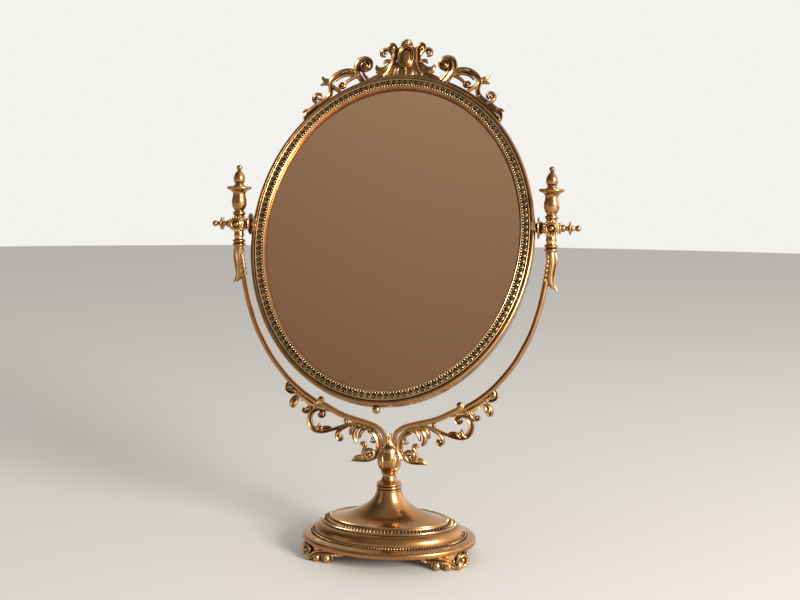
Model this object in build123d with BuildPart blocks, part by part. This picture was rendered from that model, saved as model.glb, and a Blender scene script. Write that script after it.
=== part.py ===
"""Dressing table mirror: an oval glass in a cast brass frame, hung between two candlestick arms.

X runs to the right, Y to the back, Z up. The origin is on the table, on the axis of the stem.
All sizes are in millimetres.
"""
import os
from math import atan2, cos, degrees, hypot, radians, sin

from build123d import *

# Clearances
RUNNING_GAP = 0.05      # radial play of a shaft in its bore, or of a spigot in its socket
BODY_GAP = 0.3          # air between two pieces that move past each other
SEAT_GAP = 0.3          # air round the glass and its backing

# Base: oval mouldings, each given by how far it lies inside the outline
BASE_HALF_WIDTH = 87.6
BASE_HALF_DEPTH = 64.8
PLINTH_BOTTOM = 14.2
RIM_HEIGHT = 1.8
RIM_INSET = 0.6
SLOPE_RISE = 2.8
BEAD_CHANNEL_INSET = 9.0
BEAD_CHANNEL_WIDTH = 3.2
SHOULDER_WIDTH = 8.3
SHOULDER_HEIGHT = 9.0
SHOULDER_STEPS = 5
PLINTH_WALL = 2.8
PLINTH_TOP = 31.0
PLINTH_OPENING_INSET = 36.0
SKIRT_WALL = 4.0        # the thick wall of the plinth between the table side and the bead channel

# Dome: ornament band, plateau and trumpet neck
DOME_LIP_INSET = 19.7
DOME_LIP_HEIGHT = 1.2
BAND_WIDTH = 8.7
BAND_RISE = 4.2
DOME_WALL = 2.8
NECK_RADIUS = 12.4
NECK_RISE = 26.6        # from the plateau to the top of the neck
NECK_SOLID_HEIGHT = 11.0
TRUMPET = [(44.0, 26.5, 2.6), (29.5, 20.5, 8.2), (20.0, 16.4, 14.0), (15.0, 13.8, 20.0)]

# Tie rod and clamp
TIE_ROD_RADIUS = 2.95
TIE_ROD_RISE = 18.0     # how far the tie rod reaches into the vase
TIE_ROD_TAIL = 2.5
CLAMP_BAR_WIDTH = 14.0
CLAMP_BAR_THICKNESS = 3.0
CLAMP_BAR_LAP = 5.0
WASHER_RADIUS = 6.5
WASHER_THICKNESS = 1.5
NUT_ACROSS_FLATS = 10.0
NUT_HEIGHT = 5.0

# Feet, with their places measured in from the side and from the front of the base
FOOT_PATH = [(46.6, 21.8), (28.6, 22.3), (12.6, 27.8), (3.6, 44.8)]
FOOT_WALL = 6.0
FOOT_BAND_BOTTOM = 6.6
LOBE_RADIUS = 3.8
LOBE_FLAT = 0.5
LOBE_PLACES = [(32.6, 22.5), (22.1, 23.6), (12.6, 27.8)]
VOLUTE_RADIUS = 6.2
VOLUTE_PLACE = (5.0, 40.3)
VOLUTE_THICKNESS = 7.0
FOOT_CURL_RADIUS = 3.4
FOOT_PAD_RADIUS = 5.5
FOOT_PAD_THICKNESS = 3.0
FOOT_SCREW_PLACE = (26.6, 30.8)
FOOT_SCREW_RADIUS = 2.0
FOOT_SCREW_LENGTH = 5.0
FOOT_SCREW_HEAD_RADIUS = 3.5
FOOT_SCREW_HEAD_HEIGHT = 1.8
FOOT_SCREW_SLOT = 0.8

# Stem
COLLAR_RADIUS = 13.0
COLLAR_BEAD_HEIGHT = 4.6
COLLAR_HEIGHT = 15.0
WAIST_RADIUS = 6.5
VASE_RADIUS = 11.75
VASE_BELLY_RISE = 15.0
VASE_HEIGHT = 27.0
VASE_MOUTH_RADIUS = 7.6
TONGUE_WIDTH = 4.0
TONGUE_DEPTH = 6.0
TONGUE_LENGTH = 15.0

# Scroll brackets, drawn in the plane of the arms: out from the stem, up from the bracket's root
BRACKET_THICKNESS = 5.0
BRACKET_SEAT_RISE = 18.5    # from the top of the collar to the root of the brackets
BRACKET_LET_IN = 2.4        # how far the vase's slots go below the root's straight part
ARM_WIDTH = 5.4
SCROLL_WIDTH = 3.4
TENDRIL_WIDTH = 2.4
CURL_RADIUS = 3.3
SMALL_CURL_RADIUS = 2.4
ARM_BAND = [(5.2, 0.0), (5.2, 14.5), (9.2, 25.7), (18.0, 31.4),
            (35.0, 35.6), (52.0, 40.9), (67.0, 48.9)]
ARM_BALL = (70.2, 53.7)
FIRST_SCROLL = [(34.6, 14.0), (32.8, 22.9), (26.0, 26.9), (14.6, 22.3),
                (9.4, 12.1), (13.6, 0.5), (23.0, -3.7)]
FIRST_LEAF = [(21.4, -0.9), (30.0, -3.5), (38.2, -6.9)]
SIDE_LEAF = [(26.4, 27.5), (35.2, 26.5), (39.4, 20.1)]
FIRST_CURL = (21.0, 0.9)
FIRST_TENDRIL = [(23.0, 3.5), (26.4, 6.3), (27.6, 11.3)]
INNER_CURL = [(12.8, 19.9), (17.2, 20.5), (16.9, 17.1)]
BRANCH = [(38.0, 33.5), (47.0, 28.9), (53.8, 23.1), (51.6, 17.7)]
SECOND_SCROLL = [(41.0, 33.1), (52.6, 28.5), (63.0, 24.1), (72.4, 23.1),
                 (80.0, 27.5), (81.9, 35.5), (77.6, 41.9), (71.0, 42.1)]
SECOND_CURLS = [(71.0, 40.1), (71.0, 25.9)]
SADDLE = [(67.0, 45.9), (80.8, 49.8), (91.8, 57.2), (101.2, 65.4)]
SADDLE_WIDTH = 4.0
THIRD_SCROLL = [(90.8, 52.9), (85.4, 50.9), (83.6, 45.9), (87.2, 43.7)]
THIRD_CURL = (87.4, 44.5)
FOURTH_SCROLL = [(84.8, 54.5), (92.0, 55.5), (99.6, 53.9), (101.6, 48.5)]
FOURTH_CURL = (99.4, 47.7)
END_HOOK = [(92.0, 57.5), (102.2, 58.3), (107.0, 63.5), (104.2, 69.2)]

# Arm rods, with their foot and their rest on the saddle drawn like the brackets
ROD_RADIUS = 2.8
ROD_INSET = 1.2         # how far the rod's top lies inside the pivot block's axis
ROD_FOOT = (75.0, 51.4)
ROD_REST = (103.9, 73.5)
ROD_FOOT_SLOPE = (0.82, 0.572)
ROD_BENDS = [(25.0, 113.5), (12.8, 143.5)]      # measured in from the pivot block's axis, and up
ROD_STRAIGHT = 1.5      # length of straight rod below the collar
ROD_LET_IN = 5.0        # length of rod inside the pivot block

# Pivot hardware, on each side of the glass
PIVOT_HEIGHT = 327.5
HUB_RADIUS = 8.0
HUB_HALF_LENGTH = 9.0
SPINDLE_BOSS_RADIUS = 5.5
SPINDLE_BOSS_HALF_LENGTH = 9.2
BLOCK_NECK_RADIUS = 5.3
BLOCK_DROP = 12.5       # from the pivot axis to the foot of the block
BLOCK_RISE = 8.5        # from the pivot axis to the top of the block
SCREW_RADIUS = 2.0
BOSS_RADIUS = 5.2
BOSS_STAND = 2.0        # how far the frame's boss stands out of its widest place
SCREW_DEPTH = 9.0
SPACER_RADIUS = 11.0
SPACER_RIM = 1.6
SPACER_WIDTH = 4.0
SPIGOT_RADIUS = 2.0
CUP_SPIGOT_LENGTH = 4.6
FINIAL_SPIGOT_LENGTH = 7.0
CUP_BELLY_RADIUS = 7.6
PAN_RADIUS = 12.4
CUP_HEIGHT = 29.6
PAN_DISH = 1.0
PAN_RIM = 1.8
FINIAL_BASE_RADIUS = 5.2
ACORN_RADIUS = 5.8
FINIAL_BALL_RADIUS = 2.8
FINIAL_HEIGHT = 22.6
ARM_COLLAR_RADIUS = 7.0
ARM_COLLAR_HEIGHT = 10.5
LEAF_WRAP = 2.4         # how far the leaf reaches past the block's axis, towards the glass
LEAF_SECTIONS = [(0.0, 0.0, 5.0), (-0.6, 13.5, 4.4), (-1.2, 25.5, 4.0), (4.2, 37.5, 1.2)]
ROSETTE_RADIUS = 8.0
ROSETTE_THICKNESS = 2.0
ROSETTE_RING_RADIUS = 5.5
ROSETTE_DOME_RADIUS = 3.0
ROSETTE_TEETH = 16
ROSETTE_PEG_LENGTH = 4.0
KNOB_DISC_RADIUS = 6.6
KNOB_BALL_RADIUS = 3.0
KNOB_LENGTH = 19.0
KNOB_SOCKET = 4.0

# Mirror, in its own plane: u across, s up from the pivot axis, n out of the front
TILT = 22.0
FRAME_HALF_WIDTH = 142.0
FRAME_HALF_HEIGHT = 173.0
FRAME_CENTRE = -7.0
FRAME_BACK = -9.5
RIM_EDGE = 1.0
RIM_WIDTH = 3.3
RIM_TOP = 5.0
BAND_INSET = 4.5
BAND_TOP = 6.0
LINER_INSET = 12.7
LIP_INSET = 15.0
GLASS_FACE = -0.5
REBATE_INSET = 11.0
GLASS_THICKNESS = 3.0
BOARD_THICKNESS = 2.5
COVER_THICKNESS = 1.0
CLIP_ANGLES = [30.0, 90.0, 150.0, 210.0, 270.0, 330.0]
CLIP_WIDTH = 8.0
CLIP_THICKNESS = 0.8
CLIP_OUTER_INSET = 2.5
CLIP_INNER_INSET = 16.0
CLIP_FOOT_LENGTH = 3.0
CLIP_SCREW_INSET = 6.0
FRAME_SCREW_RADIUS = 1.4
FRAME_SCREW_DEPTH = 4.5
FRAME_SCREW_HEAD_RADIUS = 2.6
FRAME_SCREW_HEAD_HEIGHT = 1.4
DROP_BALL_RADIUS = 3.9
DROP_BALL_OVERHANG = 3.2
DROP_PEG_RADIUS = 1.25
DROP_PEG_LENGTH = 4.5

# Crest, in the plane of the mirror: across, and up from the frame's edge straight below
CREST_FRONT = 1.8
CREST_BACK = -2.4
CREST_STRIP = 3.4
CREST_STRIP_START = 0.72    # share of the frame's half height where the strip starts
CARTOUCHE_RISE = 22.5
CARTOUCHE_HALF_WIDTH = 9.6
CARTOUCHE_HALF_HEIGHT = 13.2
CARTOUCHE_FRONT = 4.0
CABOCHON_HALF_WIDTH = 6.0
CABOCHON_HALF_HEIGHT = 9.6
CABOCHON_SINK = 1.6
CABOCHON_RISE = 1.4
SHELL_RISE = 37.6
SHELL_RADIUS = 7.4
CREST_CURL_RADIUS = 4.2
CREST_SMALL_CURL_RADIUS = 3.0
PILLAR = [(13.6, 36.8), (12.4, 24.7), (16.4, 13.2), (27.0, 5.6)]
PILLAR_WIDTH = 5.6
PILLAR_CURL = (15.2, 36.6)
SIDE_STALK = [(14.6, 24.9), (19.0, 27.2), (22.6, 31.2)]
SIDE_CURL = (23.4, 31.4)
LOW_CURL = (18.6, 18.5)
BIG_SCROLL = [(39.4, 21.6), (37.6, 26.0), (44.0, 31.1), (51.6, 26.2), (49.4, 16.4), (44.0, 7.5), (41.4, 3.1)]
BIG_SCROLL_WIDTH = 4.2
BIG_CURL = (40.2, 22.5)
HEEL_LEAF = [(24.0, 6.1), (27.4, 11.9), (29.6, 16.6)]
WING = [(43.5, 4.0), (58.0, 20.1), (69.4, 25.9), (77.4, 23.6), (79.6, 13.7),
        (84.0, 5.6), (91.6, 7.0), (98.6, 8.6)]
WING_WIDTH = 4.0
WING_TIP = [(75.6, 23.0), (82.6, 25.9), (88.0, 33.0)]
WING_CURL = (67.2, 10.4)
WING_INNER = [(48.6, 10.8), (58.0, 12.1), (65.0, 10.8)]
TAIL_CURL = (89.4, 11.2)
END_CURL = (98.4, 9.8)
LUG_PLACE = 22.0
LUG_WIDTH = 9.0
LUG_THICKNESS = 1.8
LUG_DROP = 9.5
LUG_RISE = 2.6
LUG_SCREW_INSET = 5.0

# Sizes that follow from the ones above
SHOULDER_INSET = BEAD_CHANNEL_INSET + BEAD_CHANNEL_WIDTH
SHOULDER_BOTTOM = PLINTH_TOP - SHOULDER_HEIGHT
PLINTH_CEILING = PLINTH_TOP - PLINTH_WALL
BAND_OUTER_INSET = DOME_LIP_INSET + 0.7
DOME_LIP_TOP = PLINTH_TOP + DOME_LIP_HEIGHT
PLATEAU_HEIGHT = DOME_LIP_TOP + BAND_RISE
PLATEAU_INSET = BAND_OUTER_INSET + BAND_WIDTH
NECK_TOP = PLATEAU_HEIGHT + NECK_RISE
NECK_SOLID_BOTTOM = NECK_TOP - NECK_SOLID_HEIGHT
COLLAR_TOP = NECK_TOP + COLLAR_HEIGHT
VASE_BELLY_HEIGHT = COLLAR_TOP + VASE_BELLY_RISE
VASE_TOP = COLLAR_TOP + VASE_HEIGHT
BRACKET_ROOT = COLLAR_TOP + BRACKET_SEAT_RISE
TIE_ROD_TOP = COLLAR_TOP + TIE_ROD_RISE
TIE_ROD_HOLE = TIE_ROD_RADIUS + RUNNING_GAP
CLAMP_BAR_BOTTOM = PLINTH_CEILING - CLAMP_BAR_THICKNESS
WASHER_BOTTOM = CLAMP_BAR_BOTTOM - WASHER_THICKNESS
NUT_BOTTOM = WASHER_BOTTOM - NUT_HEIGHT
BLOCK_BOTTOM = PIVOT_HEIGHT - BLOCK_DROP
BLOCK_TOP = PIVOT_HEIGHT + BLOCK_RISE
ARM_COLLAR_BOTTOM = BLOCK_BOTTOM - ARM_COLLAR_HEIGHT
ROD_TOP = BLOCK_BOTTOM + ROD_LET_IN
PAN_TOP = BLOCK_TOP + CUP_HEIGHT
PAN_SEAT = PAN_TOP - PAN_DISH
SCREW_BORE = SCREW_RADIUS + RUNNING_GAP
BOSS_REACH = FRAME_HALF_WIDTH + BOSS_STAND
SPACER_INNER_FACE = BOSS_REACH + BODY_GAP
PIVOT_BLOCK_X = SPACER_INNER_FACE + SPACER_WIDTH + SPINDLE_BOSS_HALF_LENGTH
ROD_X = PIVOT_BLOCK_X - ROD_INSET
BLOCK_OUTER_FACE = PIVOT_BLOCK_X + SPINDLE_BOSS_HALF_LENGTH
KNOB_FACE = BLOCK_OUTER_FACE + BODY_GAP
SCREW_TIP = BOSS_REACH - SCREW_DEPTH
GLASS_BACK = GLASS_FACE - GLASS_THICKNESS
BOARD_BACK = GLASS_BACK - BOARD_THICKNESS
COVER_BACK = BOARD_BACK - COVER_THICKNESS
FRAME_CROWN = FRAME_CENTRE + FRAME_HALF_HEIGHT
FRAME_FOOT = FRAME_CENTRE - FRAME_HALF_HEIGHT
CARTOUCHE_CENTRE = FRAME_CROWN + CARTOUCHE_RISE
CREST_MIDDLE = (CREST_FRONT + CREST_BACK) / 2
FOOT_SCREW_X = BASE_HALF_WIDTH - FOOT_SCREW_PLACE[0]
FOOT_SCREW_Y = BASE_HALF_DEPTH - FOOT_SCREW_PLACE[1]
FOOT_SCREW_PLACES = [(sx * FOOT_SCREW_X, sy * FOOT_SCREW_Y) for sx in (1, -1) for sy in (1, -1)]
FOOT_SCREW_SEAT = PLINTH_BOTTOM - FOOT_PAD_THICKNESS
MIRROR_PLANE = Plane(
    origin=(0, 0, PIVOT_HEIGHT),
    x_dir=(1, 0, 0),
    z_dir=(0, -cos(radians(TILT)), sin(radians(TILT))),
)
ARM_PLANE = Plane.XZ

pieces = {}


def oval_loft(sections, mode=Mode.ADD):
    """A ruled solid through ovals, each given as half width, half depth and height."""
    faces = []
    for half_width, half_depth, height in sections:
        with BuildSketch(Plane.XY.offset(height)) as section:
            Ellipse(half_width, half_depth)
        faces.append(section.sketch.face())
    loft(faces, ruled=True, mode=mode)


def base_oval(inset, height):
    """The base outline drawn in by an inset, at a height."""
    return BASE_HALF_WIDTH - inset, BASE_HALF_DEPTH - inset, height


def stroke(points, width):
    """A band of even width along tangent arcs through the points, with round ends."""
    with BuildLine() as path:
        arc = ThreePointArc(*points[:3])
        for point in points[3:]:
            arc = TangentArc(arc @ 1, point, tangent=arc % 1)
    trace(path.line, line_width=width)
    with Locations(points[0], points[-1]):
        Circle(width / 2)


# Base plinth: the oval foot moulding, hollow below, with four screw bosses
with BuildPart() as plinth_hollow:
    oval_loft([
        base_oval(SKIRT_WALL, PLINTH_BOTTOM),
        base_oval(SKIRT_WALL, PLINTH_BOTTOM + RIM_HEIGHT + 1.0),
        base_oval(SHOULDER_INSET + 0.4, SHOULDER_BOTTOM - PLINTH_WALL),
        base_oval(SHOULDER_INSET + 5.0, SHOULDER_BOTTOM + 2.0),
        base_oval(SHOULDER_INSET + SHOULDER_WIDTH + 0.6, PLINTH_CEILING),
    ])
    with BuildSketch(Plane.XY.offset(PLINTH_BOTTOM)):
        with Locations(*FOOT_SCREW_PLACES):
            Circle(FOOT_PAD_RADIUS)
    extrude(amount=PLINTH_TOP - PLINTH_BOTTOM, mode=Mode.SUBTRACT)

with BuildPart() as base_plinth:
    rim_top = PLINTH_BOTTOM + RIM_HEIGHT
    slope_top = SHOULDER_BOTTOM - 0.4
    shoulder = [
        base_oval(SHOULDER_INSET + SHOULDER_WIDTH * (1 - cos(radians(90 * step / SHOULDER_STEPS))),
                  SHOULDER_BOTTOM + SHOULDER_HEIGHT * sin(radians(90 * step / SHOULDER_STEPS)))
        for step in range(SHOULDER_STEPS + 1)
    ]
    oval_loft([
        base_oval(RIM_INSET, PLINTH_BOTTOM),
        base_oval(0.0, rim_top),
        base_oval(RIM_INSET, slope_top - SLOPE_RISE),
        base_oval(BEAD_CHANNEL_INSET, slope_top),
    ] + shoulder)
    add(plinth_hollow.part, mode=Mode.SUBTRACT)
    with BuildSketch(Plane.XY.offset(PLINTH_CEILING)):
        Ellipse(BASE_HALF_WIDTH - PLINTH_OPENING_INSET, BASE_HALF_DEPTH - PLINTH_OPENING_INSET)
    extrude(amount=PLINTH_WALL, mode=Mode.SUBTRACT)
    with BuildSketch(Plane.XY.offset(PLINTH_BOTTOM)):
        with Locations(*FOOT_SCREW_PLACES):
            Circle(FOOT_SCREW_RADIUS + RUNNING_GAP)
    extrude(amount=FOOT_SCREW_LENGTH - FOOT_PAD_THICKNESS + 0.6, mode=Mode.SUBTRACT)
pieces["base_plinth"] = base_plinth

# Base dome: the overhanging lip, the sloping ornament band, the plateau and the trumpet neck
with BuildPart() as base_dome:
    oval_loft([
        base_oval(DOME_LIP_INSET, PLINTH_TOP),
        base_oval(DOME_LIP_INSET, DOME_LIP_TOP),
        base_oval(PLATEAU_INSET, PLATEAU_HEIGHT),
    ] + [(a, b, PLATEAU_HEIGHT + rise) for a, b, rise in TRUMPET] + [(NECK_RADIUS, NECK_RADIUS, NECK_TOP)])
    inner = [(a - DOME_WALL, b - DOME_WALL, PLATEAU_HEIGHT + rise - DOME_WALL)
             for a, b, rise in TRUMPET[:-1]]
    mouth = base_oval(PLATEAU_INSET + DOME_WALL, PLINTH_TOP)
    oval_loft([mouth, (mouth[0], mouth[1], PLATEAU_HEIGHT - DOME_WALL)] + inner
              + [(TIE_ROD_HOLE + 3.0, TIE_ROD_HOLE + 3.0, NECK_SOLID_BOTTOM)], mode=Mode.SUBTRACT)
    with BuildSketch(Plane.XY.offset(NECK_TOP)):
        Circle(TIE_ROD_HOLE)
    extrude(amount=-NECK_SOLID_HEIGHT, mode=Mode.SUBTRACT)
pieces["base_dome"] = base_dome

# Clamp bar under the plinth, with the tie rod, its washer and its nut
with BuildPart() as clamp_bar:
    bar_length = 2 * (BASE_HALF_DEPTH - PLINTH_OPENING_INSET + CLAMP_BAR_LAP)
    with BuildSketch(Plane.XY.offset(CLAMP_BAR_BOTTOM)):
        SlotOverall(bar_length, CLAMP_BAR_WIDTH, rotation=90)
        Circle(TIE_ROD_HOLE, mode=Mode.SUBTRACT)
    extrude(amount=CLAMP_BAR_THICKNESS)
pieces["clamp_bar"] = clamp_bar

with BuildPart() as tie_rod_washer:
    with BuildSketch(Plane.XY.offset(WASHER_BOTTOM)):
        Circle(WASHER_RADIUS)
        Circle(TIE_ROD_HOLE, mode=Mode.SUBTRACT)
    extrude(amount=WASHER_THICKNESS)
pieces["tie_rod_washer"] = tie_rod_washer

with BuildPart() as tie_rod_nut:
    with BuildSketch(Plane.XY.offset(NUT_BOTTOM)):
        RegularPolygon(NUT_ACROSS_FLATS / 2, 6, major_radius=False)
        Circle(TIE_ROD_HOLE, mode=Mode.SUBTRACT)
    extrude(amount=NUT_HEIGHT)
pieces["tie_rod_nut"] = tie_rod_nut

with BuildPart() as tie_rod:
    with BuildSketch(Plane.XY.offset(NUT_BOTTOM - TIE_ROD_TAIL)):
        Circle(TIE_ROD_RADIUS)
    extrude(amount=TIE_ROD_TOP - NUT_BOTTOM + TIE_ROD_TAIL)
    chamfer(tie_rod.edges().filter_by(GeomType.CIRCLE), length=TIE_ROD_RADIUS / 6)
pieces["tie_rod"] = tie_rod


def from_corner(point):
    """A place on the base, from how far it lies in from the side and in from the front."""
    return BASE_HALF_WIDTH - point[0], BASE_HALF_DEPTH - point[1]


def corner_foot(sx, sy):
    """A cast corner foot: a curved band under the rim, three toes, a volute and a small curl."""
    def place(point):
        x, y = from_corner(point)
        return sx * x, sy * y

    with BuildPart() as foot:
        with BuildSketch(Plane.XY.offset(FOOT_BAND_BOTTOM)):
            stroke([place(point) for point in FOOT_PATH], FOOT_WALL)
        extrude(amount=PLINTH_BOTTOM - FOOT_BAND_BOTTOM)
        with BuildSketch(Plane.XY.offset(FOOT_SCREW_SEAT)):
            with Locations(place(FOOT_SCREW_PLACE)):
                Circle(FOOT_PAD_RADIUS)
            stroke([place(point) for point in FOOT_PATH], FOOT_WALL)
        extrude(amount=FOOT_PAD_THICKNESS)
        toe_centre = LOBE_RADIUS - LOBE_FLAT
        for point in LOBE_PLACES:
            x, y = place(point)
            with Locations((x, y, toe_centre)):
                Sphere(LOBE_RADIUS)
            with BuildSketch(Plane.XY.offset(toe_centre)):
                with Locations((x, y)):
                    Circle(LOBE_RADIUS)
            extrude(amount=FOOT_BAND_BOTTOM - toe_centre + 1.0)
        x, y = place(VOLUTE_PLACE)
        facing = degrees(atan2(y, x))
        with BuildSketch(Plane(origin=(x, y, VOLUTE_RADIUS + 1.0), z_dir=(x, y, 0))):
            Circle(VOLUTE_RADIUS)
        extrude(amount=VOLUTE_THICKNESS / 2, both=True)
        with Locations((x + 3.0 * cos(radians(facing)), y + 3.0 * sin(radians(facing)),
                        VOLUTE_RADIUS + 1.0)):
            Sphere(VOLUTE_RADIUS / 2)
        x, y = place(FOOT_PATH[0])
        with Locations((x, y, FOOT_BAND_BOTTOM + 2.0)):
            Sphere(FOOT_CURL_RADIUS)
        with BuildSketch(Plane.XY):
            Rectangle(4 * BASE_HALF_WIDTH, 4 * BASE_HALF_DEPTH)
        extrude(amount=-LOBE_RADIUS, mode=Mode.SUBTRACT)
        with BuildSketch(Plane.XY.offset(PLINTH_BOTTOM)):
            Rectangle(4 * BASE_HALF_WIDTH, 4 * BASE_HALF_DEPTH)
        extrude(amount=VOLUTE_RADIUS, mode=Mode.SUBTRACT)
        with BuildSketch(Plane.XY.offset(PLINTH_BOTTOM)):
            with Locations(place(FOOT_SCREW_PLACE)):
                Circle(FOOT_SCREW_RADIUS + RUNNING_GAP)
        extrude(amount=-FOOT_PAD_THICKNESS, mode=Mode.SUBTRACT)
        with BuildSketch(Plane.XY.offset(FOOT_SCREW_SEAT)):
            with Locations(place(FOOT_SCREW_PLACE)):
                Circle(FOOT_SCREW_HEAD_RADIUS + SEAT_GAP)
        extrude(amount=-FOOT_BAND_BOTTOM, mode=Mode.SUBTRACT)
    return foot


for end, sy in (("front", -1), ("rear", 1)):
    for hand, sx in (("left", -1), ("right", 1)):
        pieces[f"foot_{end}_{hand}"] = corner_foot(sx, sy)

# One slotted screw up through each foot into the plinth
with BuildPart() as foot_screws:
    with BuildSketch(Plane.XY.offset(FOOT_SCREW_SEAT)):
        with Locations(*FOOT_SCREW_PLACES):
            Circle(FOOT_SCREW_RADIUS)
    extrude(amount=FOOT_SCREW_LENGTH)
    with BuildSketch(Plane.XY.offset(FOOT_SCREW_SEAT)):
        with Locations(*FOOT_SCREW_PLACES):
            Circle(FOOT_SCREW_HEAD_RADIUS)
            Rectangle(2 * FOOT_SCREW_HEAD_RADIUS, FOOT_SCREW_SLOT, mode=Mode.SUBTRACT)
    extrude(amount=-FOOT_SCREW_HEAD_HEIGHT)
    with BuildSketch(Plane.XY.offset(FOOT_SCREW_SEAT)):
        with Locations(*FOOT_SCREW_PLACES):
            Circle(FOOT_SCREW_HEAD_RADIUS)
    extrude(amount=-FOOT_SCREW_HEAD_HEIGHT / 2)
pieces["foot_screws"] = foot_screws

# Stem collar: two turned beads over the trumpet neck
with BuildPart() as stem_collar:
    bead = COLLAR_BEAD_HEIGHT / 2
    low = NECK_TOP + 2.4
    high = low + COLLAR_BEAD_HEIGHT
    with BuildSketch(Plane.XZ):
        with BuildLine() as outline:
            Line((TIE_ROD_HOLE, NECK_TOP), (NECK_RADIUS - 0.4, NECK_TOP))
            Line((NECK_RADIUS - 0.4, NECK_TOP), (COLLAR_RADIUS - 1.4, low))
            ThreePointArc((COLLAR_RADIUS - 1.4, low), (COLLAR_RADIUS - 0.2, low + bead),
                          (COLLAR_RADIUS - 1.4, high))
            ThreePointArc((COLLAR_RADIUS - 1.4, high), (COLLAR_RADIUS, high + bead),
                          (COLLAR_RADIUS - 1.4, high + 2 * bead))
            ThreePointArc((COLLAR_RADIUS - 1.4, high + 2 * bead), (WAIST_RADIUS + 1.2, COLLAR_TOP - 2.4),
                          (WAIST_RADIUS, COLLAR_TOP))
            Line((WAIST_RADIUS, COLLAR_TOP), (TIE_ROD_HOLE, COLLAR_TOP))
            Line((TIE_ROD_HOLE, COLLAR_TOP), (TIE_ROD_HOLE, NECK_TOP))
        make_face()
    revolve(axis=Axis.Z)
pieces["stem_collar"] = stem_collar

# Stem vase: the turned belly, slotted for the two brackets, with a tongue between them
with BuildPart() as stem_vase:
    with BuildSketch(Plane.XZ):
        with BuildLine() as outline:
            Line((0, COLLAR_TOP), (WAIST_RADIUS, COLLAR_TOP))
            ThreePointArc((WAIST_RADIUS, COLLAR_TOP), (WAIST_RADIUS + 1.6, COLLAR_TOP + 4.4),
                          (VASE_RADIUS - 1.2, VASE_BELLY_HEIGHT - 6.0))
            ThreePointArc((VASE_RADIUS - 1.2, VASE_BELLY_HEIGHT - 6.0), (VASE_RADIUS, VASE_BELLY_HEIGHT),
                          (VASE_MOUTH_RADIUS + 1.6, VASE_TOP - 4.0))
            Line((VASE_MOUTH_RADIUS + 1.6, VASE_TOP - 4.0), (VASE_MOUTH_RADIUS, VASE_TOP))
            Line((VASE_MOUTH_RADIUS, VASE_TOP), (0, VASE_TOP))
            Line((0, VASE_TOP), (0, COLLAR_TOP))
        make_face()
    revolve(axis=Axis.Z)
    with BuildSketch(Plane.XY.offset(VASE_TOP)):
        RectangleRounded(TONGUE_WIDTH, TONGUE_DEPTH, TONGUE_WIDTH / 4)
    extrude(amount=TONGUE_LENGTH)
    slot_depth = VASE_RADIUS
    for side in (1, -1):
        with BuildSketch(Plane.XY.offset(BRACKET_ROOT - BRACKET_LET_IN)):
            with Locations((side * (TONGUE_WIDTH + slot_depth) / 2, 0)):
                Rectangle(slot_depth, BRACKET_THICKNESS)
        extrude(amount=VASE_TOP, mode=Mode.SUBTRACT)
    with BuildSketch(Plane.XY.offset(COLLAR_TOP)):
        Circle(TIE_ROD_HOLE)
    extrude(amount=TIE_ROD_TOP - COLLAR_TOP + SEAT_GAP, mode=Mode.SUBTRACT)
pieces["stem_vase"] = stem_vase


def raised(points):
    """The points of a bracket's drawing, moved up to its root."""
    return [(x, z + BRACKET_ROOT) for x, z in points]


def rod_route():
    """The line of an arm rod, from the bracket up into the pivot block."""
    shoulder = ARM_COLLAR_BOTTOM - ROD_STRAIGHT
    foot, rest = raised([ROD_FOOT, ROD_REST])
    bends = raised([(PIVOT_BLOCK_X - inset, rise) for inset, rise in ROD_BENDS])
    low = TangentArc(foot, rest, tangent=ROD_FOOT_SLOPE)
    Spline(rest, *bends, (ROD_X, shoulder), tangents=[low % 1, (0, 1)])
    Line((ROD_X, shoulder), (ROD_X, ROD_TOP))


def arm_rod():
    """A round rod that follows its route in the plane of the arms."""
    with BuildPart() as rod:
        with BuildLine(ARM_PLANE):
            rod_route()
        x, z = raised([ROD_FOOT])[0]
        along_x, along_z = ROD_FOOT_SLOPE
        with BuildSketch(Plane(origin=(x, 0, z), z_dir=(along_x, 0, along_z))):
            Circle(ROD_RADIUS)
        sweep()
    return rod


def scroll_bracket():
    """A flat cast bracket: the arm band, its scrolls and curls, and the saddle under the rod."""
    with BuildPart() as bracket:
        with BuildSketch(ARM_PLANE):
            stroke(raised(ARM_BAND), ARM_WIDTH)
            stroke(raised(SADDLE), SADDLE_WIDTH)
            for points in (FIRST_SCROLL, SECOND_SCROLL):
                stroke(raised(points), SCROLL_WIDTH)
            for points in (FIRST_LEAF, SIDE_LEAF, FIRST_TENDRIL, INNER_CURL, BRANCH,
                           THIRD_SCROLL, FOURTH_SCROLL, END_HOOK):
                stroke(raised(points), TENDRIL_WIDTH)
        extrude(amount=BRACKET_THICKNESS / 2, both=True)
        with Locations(*[(x, 0, z) for x, z in raised([FIRST_CURL, ARM_BALL] + SECOND_CURLS)]):
            Sphere(CURL_RADIUS)
        small = [FIRST_TENDRIL[-1], INNER_CURL[-1], BRANCH[-1], THIRD_CURL, FOURTH_CURL, END_HOOK[-1]]
        with Locations(*[(x, 0, z) for x, z in raised(small)]):
            Sphere(SMALL_CURL_RADIUS)
        with BuildSketch(ARM_PLANE):
            with BuildLine() as route:
                rod_route()
            trace(route.line, line_width=2 * ROD_RADIUS)
            with Locations(raised([ROD_FOOT])[0]):
                Circle(ROD_RADIUS)
            with Locations((0, BRACKET_ROOT - VASE_RADIUS)):
                Rectangle(4 * TONGUE_WIDTH, 2 * VASE_RADIUS)
            with Locations((0, VASE_TOP)):
                Rectangle(TONGUE_WIDTH, VASE_TOP)
        extrude(amount=BRACKET_THICKNESS, both=True, mode=Mode.SUBTRACT)
    return bracket


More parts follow.
